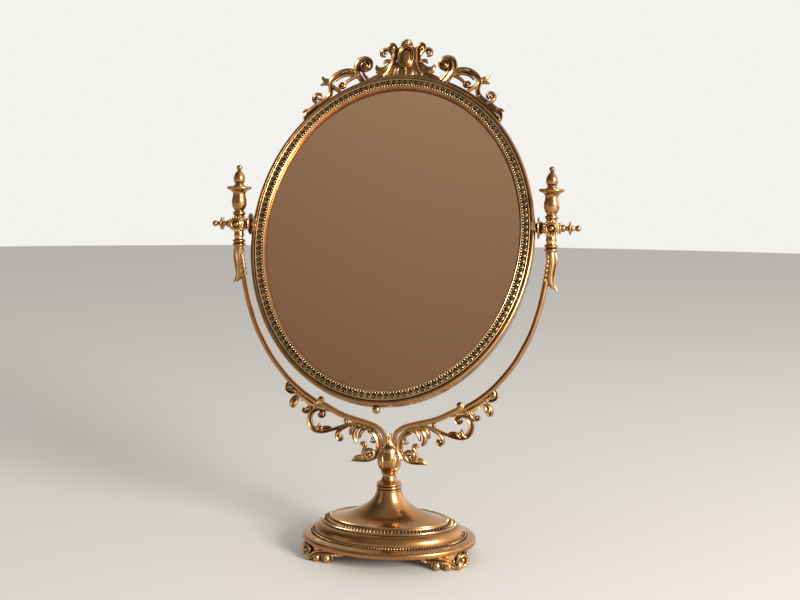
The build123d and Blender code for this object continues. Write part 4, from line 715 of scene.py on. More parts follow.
def on_vase(angle, height, lift=0.0):
    """A point on the vase, at an angle in degrees from the front."""
    radius = float(np.interp(height, [z for _, z in VASE_SIDE], [r for r, _ in VASE_SIDE])) + lift
    turn = math.radians(angle - 90)
    return (radius * math.cos(turn), radius * math.sin(turn), height)


def out_of_stem(place):
    """The direction straight out of the stem at a place."""
    return Vector((place.x, place.y, 0)).normalized()


for middle in (-47, 47, 133, 227):
    rim = []
    for step in range(25):
        turn = math.tau * step / 24
        rim.append((*on_vase(middle + 21 * math.sin(turn) * (1.0 + 0.25 * math.cos(turn)),
                             93.0 - 7.6 * math.cos(turn), 0.1), 1.7))
    ribbon(vase, rim, 1.0, out_of_stem, round_ends=(False, False))
    swell = bmesh.new()
    bmesh.ops.create_uvsphere(swell, u_segments=20, v_segments=12, radius=1.0)
    add_shape(vase, swell, [Matrix.Translation(on_vase(middle, 92.8, -0.6))
                            @ Matrix.Rotation(math.radians(middle), 4, "Z") @ Matrix.Diagonal((2.9, 1.5, 5.6, 1))])
for middle in (82, 98, 262, 278):
    blade = [(*on_vase(middle, h, 0.1), w) for h, w in ((79.0, 1.0), (82.0, 2.4), (86.0, 3.4), (91.0, 3.0),
                                                        (96.0, 1.8), (101.0, 0.5))]
    ribbon(vase, blade, 0.9, out_of_stem, RIDGED)
turned(vase, [(AXIS, 102.0), (8.6, 102.0), (8.0, 103.6), (6.8, 105.2), (5.4, 106.8), (4.2, 108.6), (3.3, 110.8),
              (2.6, 113.4), (AXIS, 114.0)])
tongue_outline = [(-2.0, -2.6), (-2.0, 2.6), (-1.3, 3.1), (-0.75, 2.75), (-0.3, 3.1), (0.3, 3.1), (0.75, 2.75),
                  (1.3, 3.1), (2.0, 2.6), (2.0, -2.6), (1.3, -3.1), (0.75, -2.75), (0.3, -3.1), (-0.3, -3.1),
                  (-0.75, -2.75), (-1.3, -3.1)]
tongue = bmesh.new()
pull(tongue, tongue_outline, [Matrix.Translation((0, 0, h)) @ Matrix.Diagonal((w, d, 1, 1)) for h, w, d in
                              ((100.0, 1.5, 1.3), (106.0, 1.15, 1.1), (110.0, 1.0, 1.0), (117.4, 1.0, 1.0),
                               (118.8, 0.9, 0.94), (119.6, 0.62, 0.75), (119.95, 0.2, 0.3))])
add_shape(vase, tongue)
finish_piece(vase, "vase", "stand", brass, ["stem_vase"], 45)

# %% [markdown]
# ## The arms
# Every piece of the arms is made once on the right and mirrored. The bracket is a flat casting of channelled
# scrolls: each strand is a path in the plane of the arms, measured on the photograph, with its width, and most
# end in a curl round a ball. A flat band under them all carries the rod.

# %% Mirrored pieces
ARM_PLANE = Matrix(((1, 0, 0), (0, 0, -1), (0, 1, 0))).to_4x4()
PIVOT_X, PIVOT_Z = 157.5, 327.5
ARM_AXIS = Matrix.Translation((PIVOT_X, 0, 0))
FACING = Matrix.Translation((PIVOT_X, 0, PIVOT_Z)) @ Matrix.Rotation(math.pi / 2, 4, "X")
ACROSS = Matrix.Translation((0, 0, PIVOT_Z)) @ Matrix.Rotation(math.pi / 2, 4, "Y")


def arm_pieces(build, part, material, body="stand"):
    """Finishes a shape on the right, and its mirror image on the left."""
    for hand, sx in (("left", -1), ("right", 1)):
        shape = build()
        bmesh.ops.scale(shape, vec=(sx, 1, 1), verts=shape.verts)
        rides_on = f"{hand}_knob" if body == "knob" else body
        finish_piece(shape, f"{hand}_{part}_dressed", rides_on, material, [f"{hand}_{part}"], 45)


def eyes(drawing, *balls):
    """Balls in a drawing, each from (x, y, lift, radius, height as a share of it)."""
    for x, y, lift, radius, share in balls:
        ball(drawing, (x, y, lift), radius, (1, 1, share))


# %% Arm band and first scroll
FLAT = [(-1, -0.5), (-1, 0.5), (-0.86, 0.86), (-0.4, 1), (0.4, 1), (0.86, 0.86), (1, 0.5), (1, -0.5), (0.86, -0.86),
        (0, -1), (-0.86, -0.86)]


def draw_first_scroll(drawing):
    """The band that carries the arm, and the C scroll that hangs inside it against the stem."""
    band = [(5.1, 94.2, 5.0), (4.8, 104.0, 4.4), (4.9, 113.3, 4.2), (6.8, 120.6, 4.6), (10.7, 124.1, 5.0),
            (15.8, 126.9, 5.2), (22.8, 129.3, 5.2), (30.9, 131.4, 5.5), (40.9, 133.9, 5.7), (50.9, 137.4, 5.7),
            (60.8, 142.6, 5.5), (68.7, 147.0, 5.2), (73.2, 149.4, 5.0)]
    stroke(drawing, band, 2.45, FLAT, 1.2)
    scroll = [(34.7, 127.6, 2.0), (27.7, 125.8, 3.4), (20.7, 123.4, 4.8), (14.8, 119.2, 6.0), (11.4, 113.4, 6.8),
              (10.2, 107.0, 7.0), (11.4, 100.5, 6.4), (14.9, 95.6, 5.4), (19.9, 92.8, 4.6), (25.0, 91.9, 4.8),
              (31.1, 92.5, 6.0), (35.1, 91.6, 4.4), (38.9, 89.8, 0.5)]
    stroke(drawing, scroll, 2.4, CHANNEL, round_ends=(True, False))
    stroke(drawing, [(22.0, 92.8, 2.4), (28.4, 94.2, 5.0), (33.4, 93.4, 5.0), (36.6, 91.4, 3.0), (38.9, 89.8, 0.6)],
           2.2, RIDGED, round_ends=(True, False))
    for finger in ([(20.7, 123.2, 3.0), (26.4, 122.6, 4.0), (29.6, 118.6, 4.0), (30.8, 114.4, 3.0)],
                   [(26.0, 125.4, 3.0), (32.6, 123.9, 4.2), (35.9, 118.6, 5.0), (35.7, 113.0, 4.6), (33.6, 109.6, 3.2)],
                   [(30.7, 127.4, 2.6), (36.5, 126.1, 3.4), (39.6, 121.8, 3.4), (40.2, 117.2, 2.6)]):
        stroke(drawing, finger, 2.1, RIDGED)
    stroke(drawing, [(21.7, 120.4, 2.0), (17.2, 118.4, 2.8), (14.4, 114.8, 3.1), (14.5, 111.4, 2.8), (17.1, 110.0, 2.3),
                     (19.3, 111.0, 1.5)], 2.1, RIDGED)
    stroke(drawing, [(18.4, 93.4, 3.8), (15.9, 98.2, 4.4), (18.2, 101.9, 4.1), (22.4, 102.2, 3.6), (24.9, 99.2, 3.6),
                     (24.2, 94.8, 3.1)], 2.3)
    stroke(drawing, [(28.0, 93.4, 3.1), (27.1, 99.4, 3.3), (25.5, 103.8, 3.6), (24.2, 106.8, 3.3), (25.6, 109.4, 2.9),
                     (28.3, 109.3, 2.3), (29.5, 106.9, 1.5)], 2.1)
    eyes(drawing, (17.4, 113.8, 0, 1.6, 1.2), (20.5, 97.2, 0, 2.6, 1.1), (26.9, 106.7, 0, 1.5, 1.2))


# %% Second scroll
def draw_second_scroll(drawing):
    """The scroll in the middle of the arm, with the branch below it and the ball on top."""
    stroke(drawing, [(34.7, 127.9, 2.9), (40.8, 126.5, 3.6), (46.8, 123.8, 4.1), (51.3, 120.6, 4.1), (53.9, 116.8, 4.1),
                     (53.8, 112.8, 3.6), (51.0, 110.4, 3.1), (48.3, 112.5, 2.6), (48.7, 115.9, 1.9)], 2.2, RIDGED)
    second = [(36.0, 128.6, 2.4), (44.8, 126.5, 3.1), (51.8, 123.7, 3.5), (58.9, 121.0, 3.7), (65.9, 119.1, 4.2),
              (71.8, 118.7, 4.8), (77.4, 120.5, 5.6), (81.2, 125.1, 6.0), (82.4, 130.6, 6.0), (81.0, 136.2, 5.5),
              (77.2, 139.9, 4.8), (72.1, 141.3, 4.1), (68.0, 139.8, 3.4), (66.5, 136.7, 3.0), (68.1, 133.7, 2.8),
              (71.3, 133.3, 2.3), (73.4, 135.7, 1.7)]
    stroke(drawing, second, 2.4, CHANNEL)
    stroke(drawing, [(58.9, 122.3, 1.9), (64.3, 123.1, 3.4), (68.0, 121.9, 4.1), (70.6, 119.4, 2.9)], 2.0, RIDGED)
    stroke(drawing, [(76.0, 120.0, 2.9), (73.6, 122.4, 3.6), (72.6, 125.1, 2.9), (72.5, 127.6, 1.4)], 2.1, RIDGED)
    stroke(drawing, [(58.7, 139.0, 2.2), (65.6, 141.7, 3.4), (70.8, 144.8, 3.8), (74.6, 146.6, 4.1)], 2.35, RIDGED)
    eyes(drawing, (51.2, 114.2, 0, 2.0, 1.15), (44.9, 130.2, 0, 2.3, 1), (70.4, 136.9, 0, 2.5, 1.1),
         (70.3, 122.4, 0, 2.0, 1.15), (70.5, 151.2, 0, 3.5, 0.95))


# %% End of the bracket
def draw_bracket_end(drawing):
    """The saddle under the rod, and the scrolls and the hook in which the bracket ends."""
    stroke(drawing, [(67.0, 142.4, 4.3), (73.6, 144.0, 4.8), (80.8, 146.7, 5.0), (86.6, 150.0, 5.0), (92.2, 154.0, 4.6),
                     (97.4, 158.4, 3.4), (101.0, 162.0, 1.9)], 2.3)
    stroke(drawing, [(76.5, 146.3, 3.1), (80.5, 143.0, 3.6), (83.5, 139.1, 3.6), (87.1, 137.1, 3.2), (89.9, 138.8, 2.6),
                     (88.9, 141.6, 1.7)], 2.15, RIDGED)
    stroke(drawing, [(85.6, 142.2, 1.9), (82.9, 143.6, 3.1), (82.2, 146.4, 3.6), (84.4, 149.1, 2.9)], 2.0, RIDGED)
    stroke(drawing, [(80.0, 146.0, 2.9), (84.4, 147.0, 3.4), (86.4, 149.6, 3.6), (90.3, 152.1, 3.8), (95.6, 153.0, 4.1),
                     (100.0, 150.4, 4.1), (102.0, 146.3, 3.8), (101.0, 142.7, 3.1), (98.6, 142.0, 1.9)], 2.2, RIDGED)
    stroke(drawing, [(93.6, 151.9, 2.2), (95.8, 149.6, 3.6), (97.0, 146.2, 3.8), (98.9, 142.4, 2.2)], 1.9, RIDGED)
    stroke(drawing, [(86.0, 147.2, 1.7), (88.0, 149.2, 2.2), (91.3, 149.0, 1.2)], 1.8, RIDGED)
    stroke(drawing, [(86.4, 151.2, 2.9), (92.0, 155.0, 3.6), (97.0, 157.5, 4.1), (101.6, 157.4, 4.3),
                     (105.4, 159.4, 4.3), (106.6, 163.2, 3.8), (105.2, 166.8, 3.1), (103.4, 168.4, 2.4)], 2.2, CHANNEL)
    stroke(drawing, [(99.1, 158.6, 1.7), (101.6, 161.1, 2.4), (101.4, 163.9, 1.4)], 1.8, RIDGED)
    eyes(drawing, (87.1, 139.9, 0, 1.7, 1.2), (98.4, 146.6, 0, 3.0, 0.8), (103.6, 162.8, 0, 2.4, 0.9))


# %% Scroll bracket
def build_bracket():
    drawing = bmesh.new()
    draw_first_scroll(drawing)
    draw_second_scroll(drawing)
    draw_bracket_end(drawing)
    bmesh.ops.transform(drawing, matrix=ARM_PLANE, verts=drawing.verts)
    return drawing


arm_pieces(build_bracket, "scroll_bracket", brass)

# %% Rod
ROD_ROUTE = [(75.0, 147.9), (78.6, 150.3), (86.1, 155.1), (92.9, 160.2), (98.7, 165.1), (103.9, 170.0),
             (112.7, 180.0), (120.6, 190.0), (127.1, 200.0), (132.5, 210.0), (137.5, 220.0), (141.5, 230.0),
             (144.7, 240.0), (147.6, 250.0), (149.9, 260.0), (151.9, 270.0), (153.6, 280.0), (155.1, 290.0),
             (156.1, 298.0), (156.3, 303.0), (156.3, 319.8)]


def rod_x(height):
    """Where the rod stands at a height, so that the leaf can follow it."""
    return float(np.interp(height, [z for _, z in ROD_ROUTE], [x for x, _ in ROD_ROUTE]))


def build_rod():
    rod = bmesh.new()
    ribbon(rod, [(x, 0, z, 5.6) for x, z in ROD_ROUTE], 2.8, (0, -1, 0), circle(20), 2.0, (True, False))
    return rod


arm_pieces(build_rod, "arm_rod", smooth_brass)

# %% [markdown]
# ### Pivot and candle socket
# Below the pivot a leaf wraps the rod, above it stand a candle cup with its drip pan and an acorn with a ball.
# They are turned shapes; the rosette's teeth and the leaf's notches are set round afterwards.

# %% Arm leaf
def build_leaf():
    leaf = bmesh.new()
    rows = [(304.2, 1.0, 5.0), (301.0, 1.1, 5.2), (296.0, 2.2, 4.9), (290.0, 2.0, 4.4), (284.0, 2.0, 4.1),
            (278.0, 2.8, 3.9), (273.6, 4.6, 3.2), (270.6, 6.4, 2.2), (268.4, 8.2, 1.1)]
    stations = [Matrix.Translation((rod_x(z) + shift, 0, z)) @ Matrix.Diagonal((r, r * 0.96, 1, 1))
                for z, shift, r in rows]
    pull(leaf, circle(18), stations)
    for side in (-1, 1):
        for step in range(6):
            z = 300.0 - 4.6 * step
            ball(leaf, (rod_x(z) - 1.4, side * 3.5, z), 1.7, (1, 0.75, 1.35), 10, 6)
    vein = [(158.4, -3.8, 303.6, 1.6), (159.0, -4.0, 296.0, 1.8), (158.2, -3.8, 288.0, 1.6), (157.6, -3.4, 280.0, 1.4),
            (158.8, -2.4, 273.0, 1.0), (161.2, -0.6, 268.2, 0.6)]
    ribbon(leaf, vein, 1.0, (0.5, -1, 0))
    ribbon(leaf, [(x, -y, z, w) for x, y, z, w in vein], 1.0, (0.5, 1, 0))
    stem = [(161.8, 0, 303.6, 1.4), (162.8, 0, 295.0, 1.5), (161.2, 0, 284.0, 1.4), (160.4, 0, 276.0, 1.2),
            (161.6, 0, 270.0, 1.2), (163.2, 0, 267.4, 1.0)]
    ribbon(leaf, stem, 1.0, (1, 0, 0))
    return leaf


arm_pieces(build_leaf, "arm_leaf", brass)

# %% Arm collar
SPIGOT_HOLE = 4.05


def build_arm_collar():
    profile = [(SPIGOT_HOLE, 304.5), (5.2, 304.5)] + bow((5.2, 304.6), (5.4, 308.0), -1.5, 7)
    profile += [(5.0, 308.2), (5.0, 308.6)] + bow((5.4, 308.7), (5.4, 311.7), -1.3, 7)
    profile += [(5.0, 311.9), (4.7, 312.6), (4.6, 313.6), (4.9, 315.0), (SPIGOT_HOLE, 315.0)]
    return turned_shape(profile, ARM_AXIS)


arm_pieces(build_arm_collar, "arm_collar", brass)

# %% Pivot block
def build_block():
    block = bmesh.new()
    hub = [(AXIS, -9.0), (6.9, -9.0), (7.6, -8.5), (7.9, -7.8)] + bow((7.9, -7.8), (7.9, 7.8), -0.6, 8)
    hub += [(7.6, 8.5), (6.9, 9.0), (AXIS, 9.0)]
    turned(block, hub, FACING, 40)
    neck = [(SPIGOT_HOLE, 315.0), (5.2, 315.0), (5.4, 316.2), (5.0, 318.0), (4.9, 321.0), (4.9, 333.4),
            (5.2, 335.2), (5.4, 336.0), (SPIGOT_HOLE, 336.0)]
    turned(block, neck, ARM_AXIS, 40, closed=True)
    boss = [(SCREW_HOLE, -9.2), (5.2, -9.2), (5.6, -8.6), (5.3, -7.4), (5.0, -5.0), (5.0, 5.0), (5.3, 7.4),
            (5.6, 8.6), (5.2, 9.2), (SCREW_HOLE, 9.2)]
    turned(block, boss, ARM_AXIS @ ACROSS, 40, closed=True)
    return block


arm_pieces(build_block, "pivot_block", brass)

# %% Rosette
def build_rosette():
    rosette = bmesh.new()
    profile = [(AXIS, 9.0), (7.2, 9.0), (7.6, 9.6), (7.2, 10.3), (6.6, 10.6), (6.0, 10.5), (5.6, 10.8), (5.2, 11.5),
               (4.6, 11.9), (4.0, 11.6), (3.7, 10.9), (3.5, 10.4), (3.2, 10.5)]
    turned(rosette, profile + bow((3.1, 10.6), (AXIS, 12.3), -0.5, 6))
    teeth = [Matrix.Rotation(math.tau * i / 16, 4, "Z") @ Matrix.Translation((6.9, 0, 9.9)) for i in range(16)]
    beads(rosette, teeth, 1.05, (1.05, 0.85, 0.95))
    bmesh.ops.transform(rosette, verts=rosette.verts, matrix=FACING)
    return rosette


arm_pieces(build_rosette, "rosette", brass)

# %% Candle cup
def build_cup():
    profile = [(AXIS, 336.0), (4.9, 336.0)] + bow((4.9, 336.1), (4.9, 340.2), -1.6, 8)
    profile += smooth_profile([(4.7, 340.5), (4.9, 341.4), (6.2, 343.4), (7.3, 346.6), (7.6, 350.0), (7.2, 353.4),
                               (6.5, 356.4), (6.5, 358.4)], 0.8)
    profile += [(6.7, 359.2), (7.6, 360.3), (9.0, 361.4), (10.8, 362.3), (11.9, 362.9)]
    profile += bow((11.9, 362.9), (12.0, 365.3), -0.55, 6)
    profile += [(11.6, 365.6), (11.0, 365.4), (10.4, 364.8), (9.0, 364.55), (AXIS, 364.6)]
    return turned_shape(profile, ARM_AXIS)


arm_pieces(build_cup, "candle_cup", smooth_brass)

# %% Finial
def build_finial():
    profile = [(AXIS, 364.6), (5.2, 364.6)] + bow((5.3, 364.7), (5.0, 367.0), -0.6, 5)
    profile += [(4.4, 367.4), (4.2, 368.0), (4.6, 368.8)]
    profile += smooth_profile([(5.2, 370.0), (5.8, 372.6), (5.5, 375.6), (4.4, 378.4), (3.0, 380.4), (2.2, 381.4)],
                              0.7)
    profile += [(1.7, 381.7), (1.5, 382.0)] + bow((1.5, 382.2), (AXIS, 387.2), -2.1, 14)
    return turned_shape(profile, ARM_AXIS)


arm_pieces(build_finial, "finial", smooth_brass)

# %% Spacer and knob
def build_spacer():
    return turned_shape([(2.3, 144.3), (9.9, 144.3), (10.7, 144.6), (11.0, 145.1), (10.8, 145.7), (10.2, 146.0),
                         (9.2, 145.8), (8.2, 146.2), (7.0, 147.0), (6.4, 148.0), (6.1, 148.3), (2.3, 148.3)], ACROSS)


arm_pieces(build_spacer, "spacer_washer", smooth_brass)


def build_knob():
    profile = [(SCREW_HOLE, 167.0), (3.1, 167.0)] + bow((3.2, 167.1), (2.9, 170.6), -0.7, 6)
    profile += [(2.3, 171.2), (2.2, 172.0), (2.5, 173.2), (3.6, 174.0), (5.6, 174.4)]
    profile += bow((5.9, 174.5), (5.9, 176.3), -0.65, 6)
    profile += [(5.2, 176.6), (3.8, 177.0), (2.6, 178.2), (1.9, 179.6), (1.7, 180.3)]
    profile += bow((1.7, 180.4), (AXIS, 185.9), -2.3, 12) + [(AXIS, 171.0), (SCREW_HOLE, 171.0)]
    return turned_shape(profile, ACROSS, 40)


arm_pieces(build_knob, "knob", smooth_brass, "knob")

# %% [markdown]
# ## The mirror
# The frame is an oval casting in its own tilted plane: a rounded rim, a groove, a bead and a broad band of
# ornament, one small motif set round at even steps, a stem that forks into two balls. Inside it a darker liner,
# a piece of its own here, slopes down to the glass; its darker brass is painted shade, for the shadow of the
# frame's overhang.

# %% Frame moulding
TILT = math.radians(22)
FRAME_HALF_WIDTH, FRAME_HALF_HEIGHT = 142.0, 173.0
FRAME_DROP = 7.0
MIRROR_PLANE = (Matrix.Translation((0, 0, PIVOT_Z))
                @ Matrix(((1, 0, 0), (0, math.sin(TILT), -math.cos(TILT)),
                          (0, math.cos(TILT), math.sin(TILT)))).to_4x4())
FRAME_PLACE = MIRROR_PLANE @ Matrix.Translation((0, -FRAME_DROP, 0))


def frame_ovals(profile):
    """Sections of the frame from (inset, height) points."""
    return [(FRAME_HALF_WIDTH - inset, FRAME_HALF_HEIGHT - inset, height) for inset, height in profile]


frame_profile = [(0.6, -9.5), (0.2, -9.0), (0.0, -7.6), (0.0, 2.4)] + bow((0.0, 2.4), (3.0, 5.0), 1.0, 7)
frame_profile += [(3.5, 4.8), (3.9, 4.2), (4.3, 4.2), (4.5, 4.8)] + bow((4.5, 5.0), (6.2, 5.4), 0.7, 6)
frame_profile += [(6.4, 4.9), (6.7, 3.1), (12.1, 3.1), (12.4, 4.8)] + bow((12.5, 5.0), (13.9, 4.8), 0.55, 6)
frame_profile += [(14.1, 4.0), (14.1, -0.5), (11.0, -0.5), (11.0, -7.0), (11.0, -9.5)]
moulding = bmesh.new()
oval_moulding(moulding, frame_ovals(frame_profile), 320, place=FRAME_PLACE)

fork = bmesh.new()


def fork_strand(points, half_thickness, spacing=1.4):
    """A strand of the fork, with flat ends."""
    ribbon(fork, points, half_thickness, UP, circle(6), spacing, (False, False))


fork_strand([(2.6, 0, -0.4, 1.7), (1.2, 0, 0.4, 1.5), (-0.4, 0, 0.4, 1.5)], 1.1, 1.6)
for side in (1, -1):
    fork_strand([(-0.2, side * 0.2, 0.3, 1.0), (-1.2, side * 0.85, 0.4, 0.9), (-2.1, side * 1.4, 0.4, 0.9)], 0.9)
    ball(fork, (-2.2, side * 1.45, 0.6), 0.95, (1, 1, 1), 8, 6)
    fork_strand([(2.6, side * 1.3, -0.6, 0.9), (1.6, side * 1.9, 0.1, 0.9), (0.5, side * 2.5, 0.1, 0.8)], 0.8)
fork_places = oval_places(FRAME_HALF_WIDTH - 9.4, FRAME_HALF_HEIGHT - 9.4, 160, 4.0)
add_shape(moulding, fork, [FRAME_PLACE @ place for place in fork_places])
for side in (1, -1):
    boss = turned_shape([(SCREW_HOLE, 138.0), (5.4, 138.0), (5.4, 140.6), (5.0, 142.6), (4.7, 143.6), (4.3, 144.0),
                         (SCREW_HOLE, 144.0)], steps=36)
    add_shape(moulding, boss, [Matrix.Translation((0, 0, PIVOT_Z)) @ Matrix.Rotation(side * math.pi / 2, 4, "Y")])
finish_piece(moulding, "frame_moulding", "mirror", shaded_frame_brass, ["mirror_frame"], 38)
liner = bmesh.new()
oval_moulding(liner, frame_ovals([(14.0, 3.0), (14.2, 2.8), (14.6, 2.3), (14.9, 1.6), (15.0, -0.5), (14.0, -0.5)]),
              320, FRAME_PLACE)
# The liner's darker brass is painted shade.
finish_piece(liner, "frame_liner", "mirror", shaded_liner_brass, ["mirror_frame"], 38)

# %% [markdown]
# ## The crest
# The crown of the frame carries a pierced casting: an oval cartouche under a shell, held by two pillars, then
# a C scroll and a long wing on each side that runs down to a curl. Half of it is drawn, from the photograph's
# strands measured in the plane of the mirror, and mirrored.

# %% Rim of the frame and rows along a path
CREST_ASIDE = 1.3
CARTOUCHE_Y = 188.5


def above_frame(x, rise):
    """A point in the mirror's plane, so far above the outer edge of the frame."""
    return x, rise - FRAME_DROP + FRAME_HALF_HEIGHT * math.sqrt(1 - (x / FRAME_HALF_WIDTH)**2)


def row_places(points, spacing, lift):
    """Places at even steps along a path of a drawing: Y runs along it, X points to its right."""
    line = [Vector((x, y, 0)) for x, y, *_ in smooth_path([(p[0], p[1], 0.0) for p in points], 0.3)]
    places, left_over = [], 0.0
    for before, after in zip(line, line[1:]):
        left_over += (after - before).length
        if left_over >= spacing:
            left_over -= spacing
            along = (after - before).normalized()
            places.append(Matrix.Translation(after + UP * lift) @ turn_to(Vector((along.y, -along.x, 0)), along, UP))
    return places


# %% Pillar and the leaves at its foot
def draw_pillar(half):
    pillar = [(18.6, 168.8, 4.6), (15.8, 175.4, 6.0), (13.6, 182.4, 6.6), (12.8, 189.6, 6.4), (12.2, 196.0, 5.8),
              (12.8, 201.4, 5.2), (15.4, 203.9, 4.8), (18.5, 202.0, 4.2), (18.7, 198.9, 3.2)]
    stroke(half, pillar, 2.4, CHANNEL)
    side = [(14.6, 190.6, 3.3), (17.0, 195.4, 3.6), (20.0, 198.3, 3.6), (23.8, 198.8, 3.6), (26.9, 195.7, 3.6),
            (26.0, 191.4, 3.3), (22.8, 190.4, 2.3)]
    stroke(half, side, 2.1, RIDGED)
    for points in ([(7.4, 166.4, 3.3), (8.6, 171.0, 4.1), (6.6, 176.0, 2.0)],
                   [(11.6, 166.0, 3.3), (11.4, 171.4, 3.6), (9.6, 176.4, 2.0)],
                   [(17.8, 165.8, 3.3), (18.2, 171.4, 3.8), (16.0, 177.6, 2.6)],
                   [(14.6, 183.4, 2.3), (18.4, 184.9, 4.4), (21.4, 184.4, 4.4), (23.0, 181.8, 1.8)],
                   [(23.4, 164.4, 2.6), (21.6, 168.0, 3.1), (18.4, 172.0, 2.0)]):
        stroke(half, points, 1.9, RIDGED)
    stroke(half, [(16.0, 179.4, 3.3), (20.0, 173.3, 4.1), (25.2, 169.0, 4.4), (30.5, 166.0, 4.4), (36.6, 163.0, 3.3)],
           2.1)
    bud = [(17.6, 180.6, 3.6), (21.0, 176.6, 5.4), (25.5, 174.2, 7.2), (29.2, 175.6, 6.0), (30.8, 179.0, 2.6)]
    stroke(half, bud, 2.0, RIDGED)
    stroke(half, [(24.6, 169.8, 2.6), (27.6, 171.6, 3.1), (30.6, 171.2, 1.5)], 1.7, RIDGED)
    eyes(half, (15.2, 200.4, 0.2, 3.0, 0.85), (22.6, 194.6, 0.1, 2.2, 1))


# %% C scroll with its milled edge
def draw_c_scroll(half):
    scroll = [(42.6, 158.8, 6.4), (46.5, 164.0, 6.2), (51.0, 171.0, 6.2), (52.2, 178.4, 6.2), (50.0, 184.6, 6.2),
              (44.8, 187.6, 5.8), (39.2, 186.0, 5.2), (36.6, 181.4, 4.6), (37.8, 176.6, 4.0), (41.8, 174.6, 3.6),
              (45.6, 176.4, 3.2), (46.4, 180.4, 2.8), (43.8, 182.8, 2.2)]
    stroke(half, scroll, 2.4, CHANNEL)
    eyes(half, (42.0, 179.2, 0.6, 2.7, 0.9), (44.2, 181.0, -1.2, 9.0, 0.1))
    edge = [(48.0, 163.6), (53.3, 171.0), (54.0, 179.6), (51.2, 187.0), (44.4, 189.8)]
    beads(half, row_places(edge, 1.45, 0.9), 0.95)
    stroke(half, [(37.6, 161.2, 3.3), (40.4, 165.4, 3.8), (44.2, 170.4, 2.8), (45.8, 175.4, 1.5)], 1.9, RIDGED)


# %% Wing, blade and tail
def draw_wing(half):
    wing = [(47.6, 166.6, 4.6), (52.0, 170.6, 5.9), (56.7, 172.7, 6.1), (62.2, 173.2, 6.1), (67.6, 171.9, 6.1),
            (72.6, 168.8, 6.1), (76.6, 164.6, 5.9), (78.6, 160.0, 5.6), (78.0, 154.5, 5.4), (77.4, 149.3, 5.4),
            (78.5, 144.5, 5.6), (81.8, 140.0, 5.9), (87.2, 135.4, 5.9), (93.2, 130.9, 5.9), (98.2, 126.4, 5.6),
            (101.6, 122.6, 4.9), (102.4, 118.8, 3.8), (101.6, 114.6, 2.3)]
    stroke(half, wing, 2.3, CHANNEL)
    beads(half, row_places(wing[1:5], 1.35, 1.9), 0.62, (2.5, 0.62, 0.8), 6, 4)
    stroke(half, [(50.6, 167.0, 2.6), (56.6, 168.9, 3.8), (62.4, 168.9, 3.8), (68.0, 166.6, 3.1), (72.6, 162.0, 1.8)],
           1.9, RIDGED)
    blade = [(49.6, 168.0, 3.1), (54.6, 165.6, 4.1), (58.6, 163.0, 3.8), (61.6, 160.2, 3.6), (63.2, 158.0, 3.3)]
    stroke(half, curl(blade, (66.0, 156.6), 330, 3.2, 1.8), 2.1, RIDGED)
    stroke(half, [(77.6, 157.6, 3.3), (73.4, 153.4, 4.6), (69.6, 150.6, 4.6), (66.6, 148.4, 3.3)], 2.0, RIDGED)
    stroke(half, [(76.6, 161.4, 3.6), (81.6, 161.8, 5.8), (85.4, 163.2, 4.8), (88.2, 166.2, 2.4)], 2.0, RIDGED)
    stroke(half, [(77.6, 159.4, 3.6), (81.6, 159.2, 5.4), (85.6, 158.6, 4.2), (88.4, 157.4, 2.4)], 2.0, RIDGED)
    ball(half, (80.4, 160.6, 0.6), 2.2, (1.1, 0.9, 0.8))
    tail = [(86.4, 134.6, 2.8), (91.4, 136.2, 3.6), (94.8, 139.2, 3.8), (95.2, 143.2, 3.6), (92.0, 146.7, 3.6),
            (88.2, 145.9, 3.3), (87.4, 142.4, 2.6), (88.9, 140.0, 1.8)]
    stroke(half, tail, 2.0, RIDGED)
    eyes(half, (66.0, 156.6, 0.1, 2.1, 1.05), (91.5, 141.6, 0.1, 2.1, 1))
    stroke(half, [(97.2, 127.6, 2.6), (101.8, 127.8, 3.3), (105.2, 125.4, 1.3)], 1.8, RIDGED)
    stroke(half, [(79.4, 143.4, 2.0), (76.4, 141.6, 3.1), (73.6, 142.4, 1.8)], 1.8, RIDGED)


crest = bmesh.new()
for sx in (1, -1):
    half = bmesh.new()
    rim = [(*above_frame(x, 1.2), 3.6) for x in (0, 12, 25, 40, 55, 70, 84, 94, 101)]
    stroke(half, rim, 2.0, spacing=2.0, round_ends=(False, True))
    draw_pillar(half)
    draw_c_scroll(half)
    draw_wing(half)
    add_shape(crest, half, [Matrix.Translation((CREST_ASIDE, 0, 0)) @ Matrix.Diagonal((sx, 1, 1, 1))])

# %% Cartouche and shell
def ring_stroke(target, half_width, half_height, width, half_thickness, lift):
    """An oval ring of a cast strand round the cartouche."""
    shape = bmesh.new()
    stations = []
    for step in range(48):
        turn = math.tau * step / 48
        place = Vector((half_width * math.cos(turn), CARTOUCHE_Y + half_height * math.sin(turn), lift))
        out = Vector((half_height * math.cos(turn), half_width * math.sin(turn), 0)).normalized()
        stations.append(Matrix.Translation(place) @ turn_to(out, UP, out.cross(UP))
                        @ Matrix.Diagonal((width / 2, half_thickness, 1, 1)))
    pull(shape, ROUND, stations, closed=True)
    add_shape(target, shape)


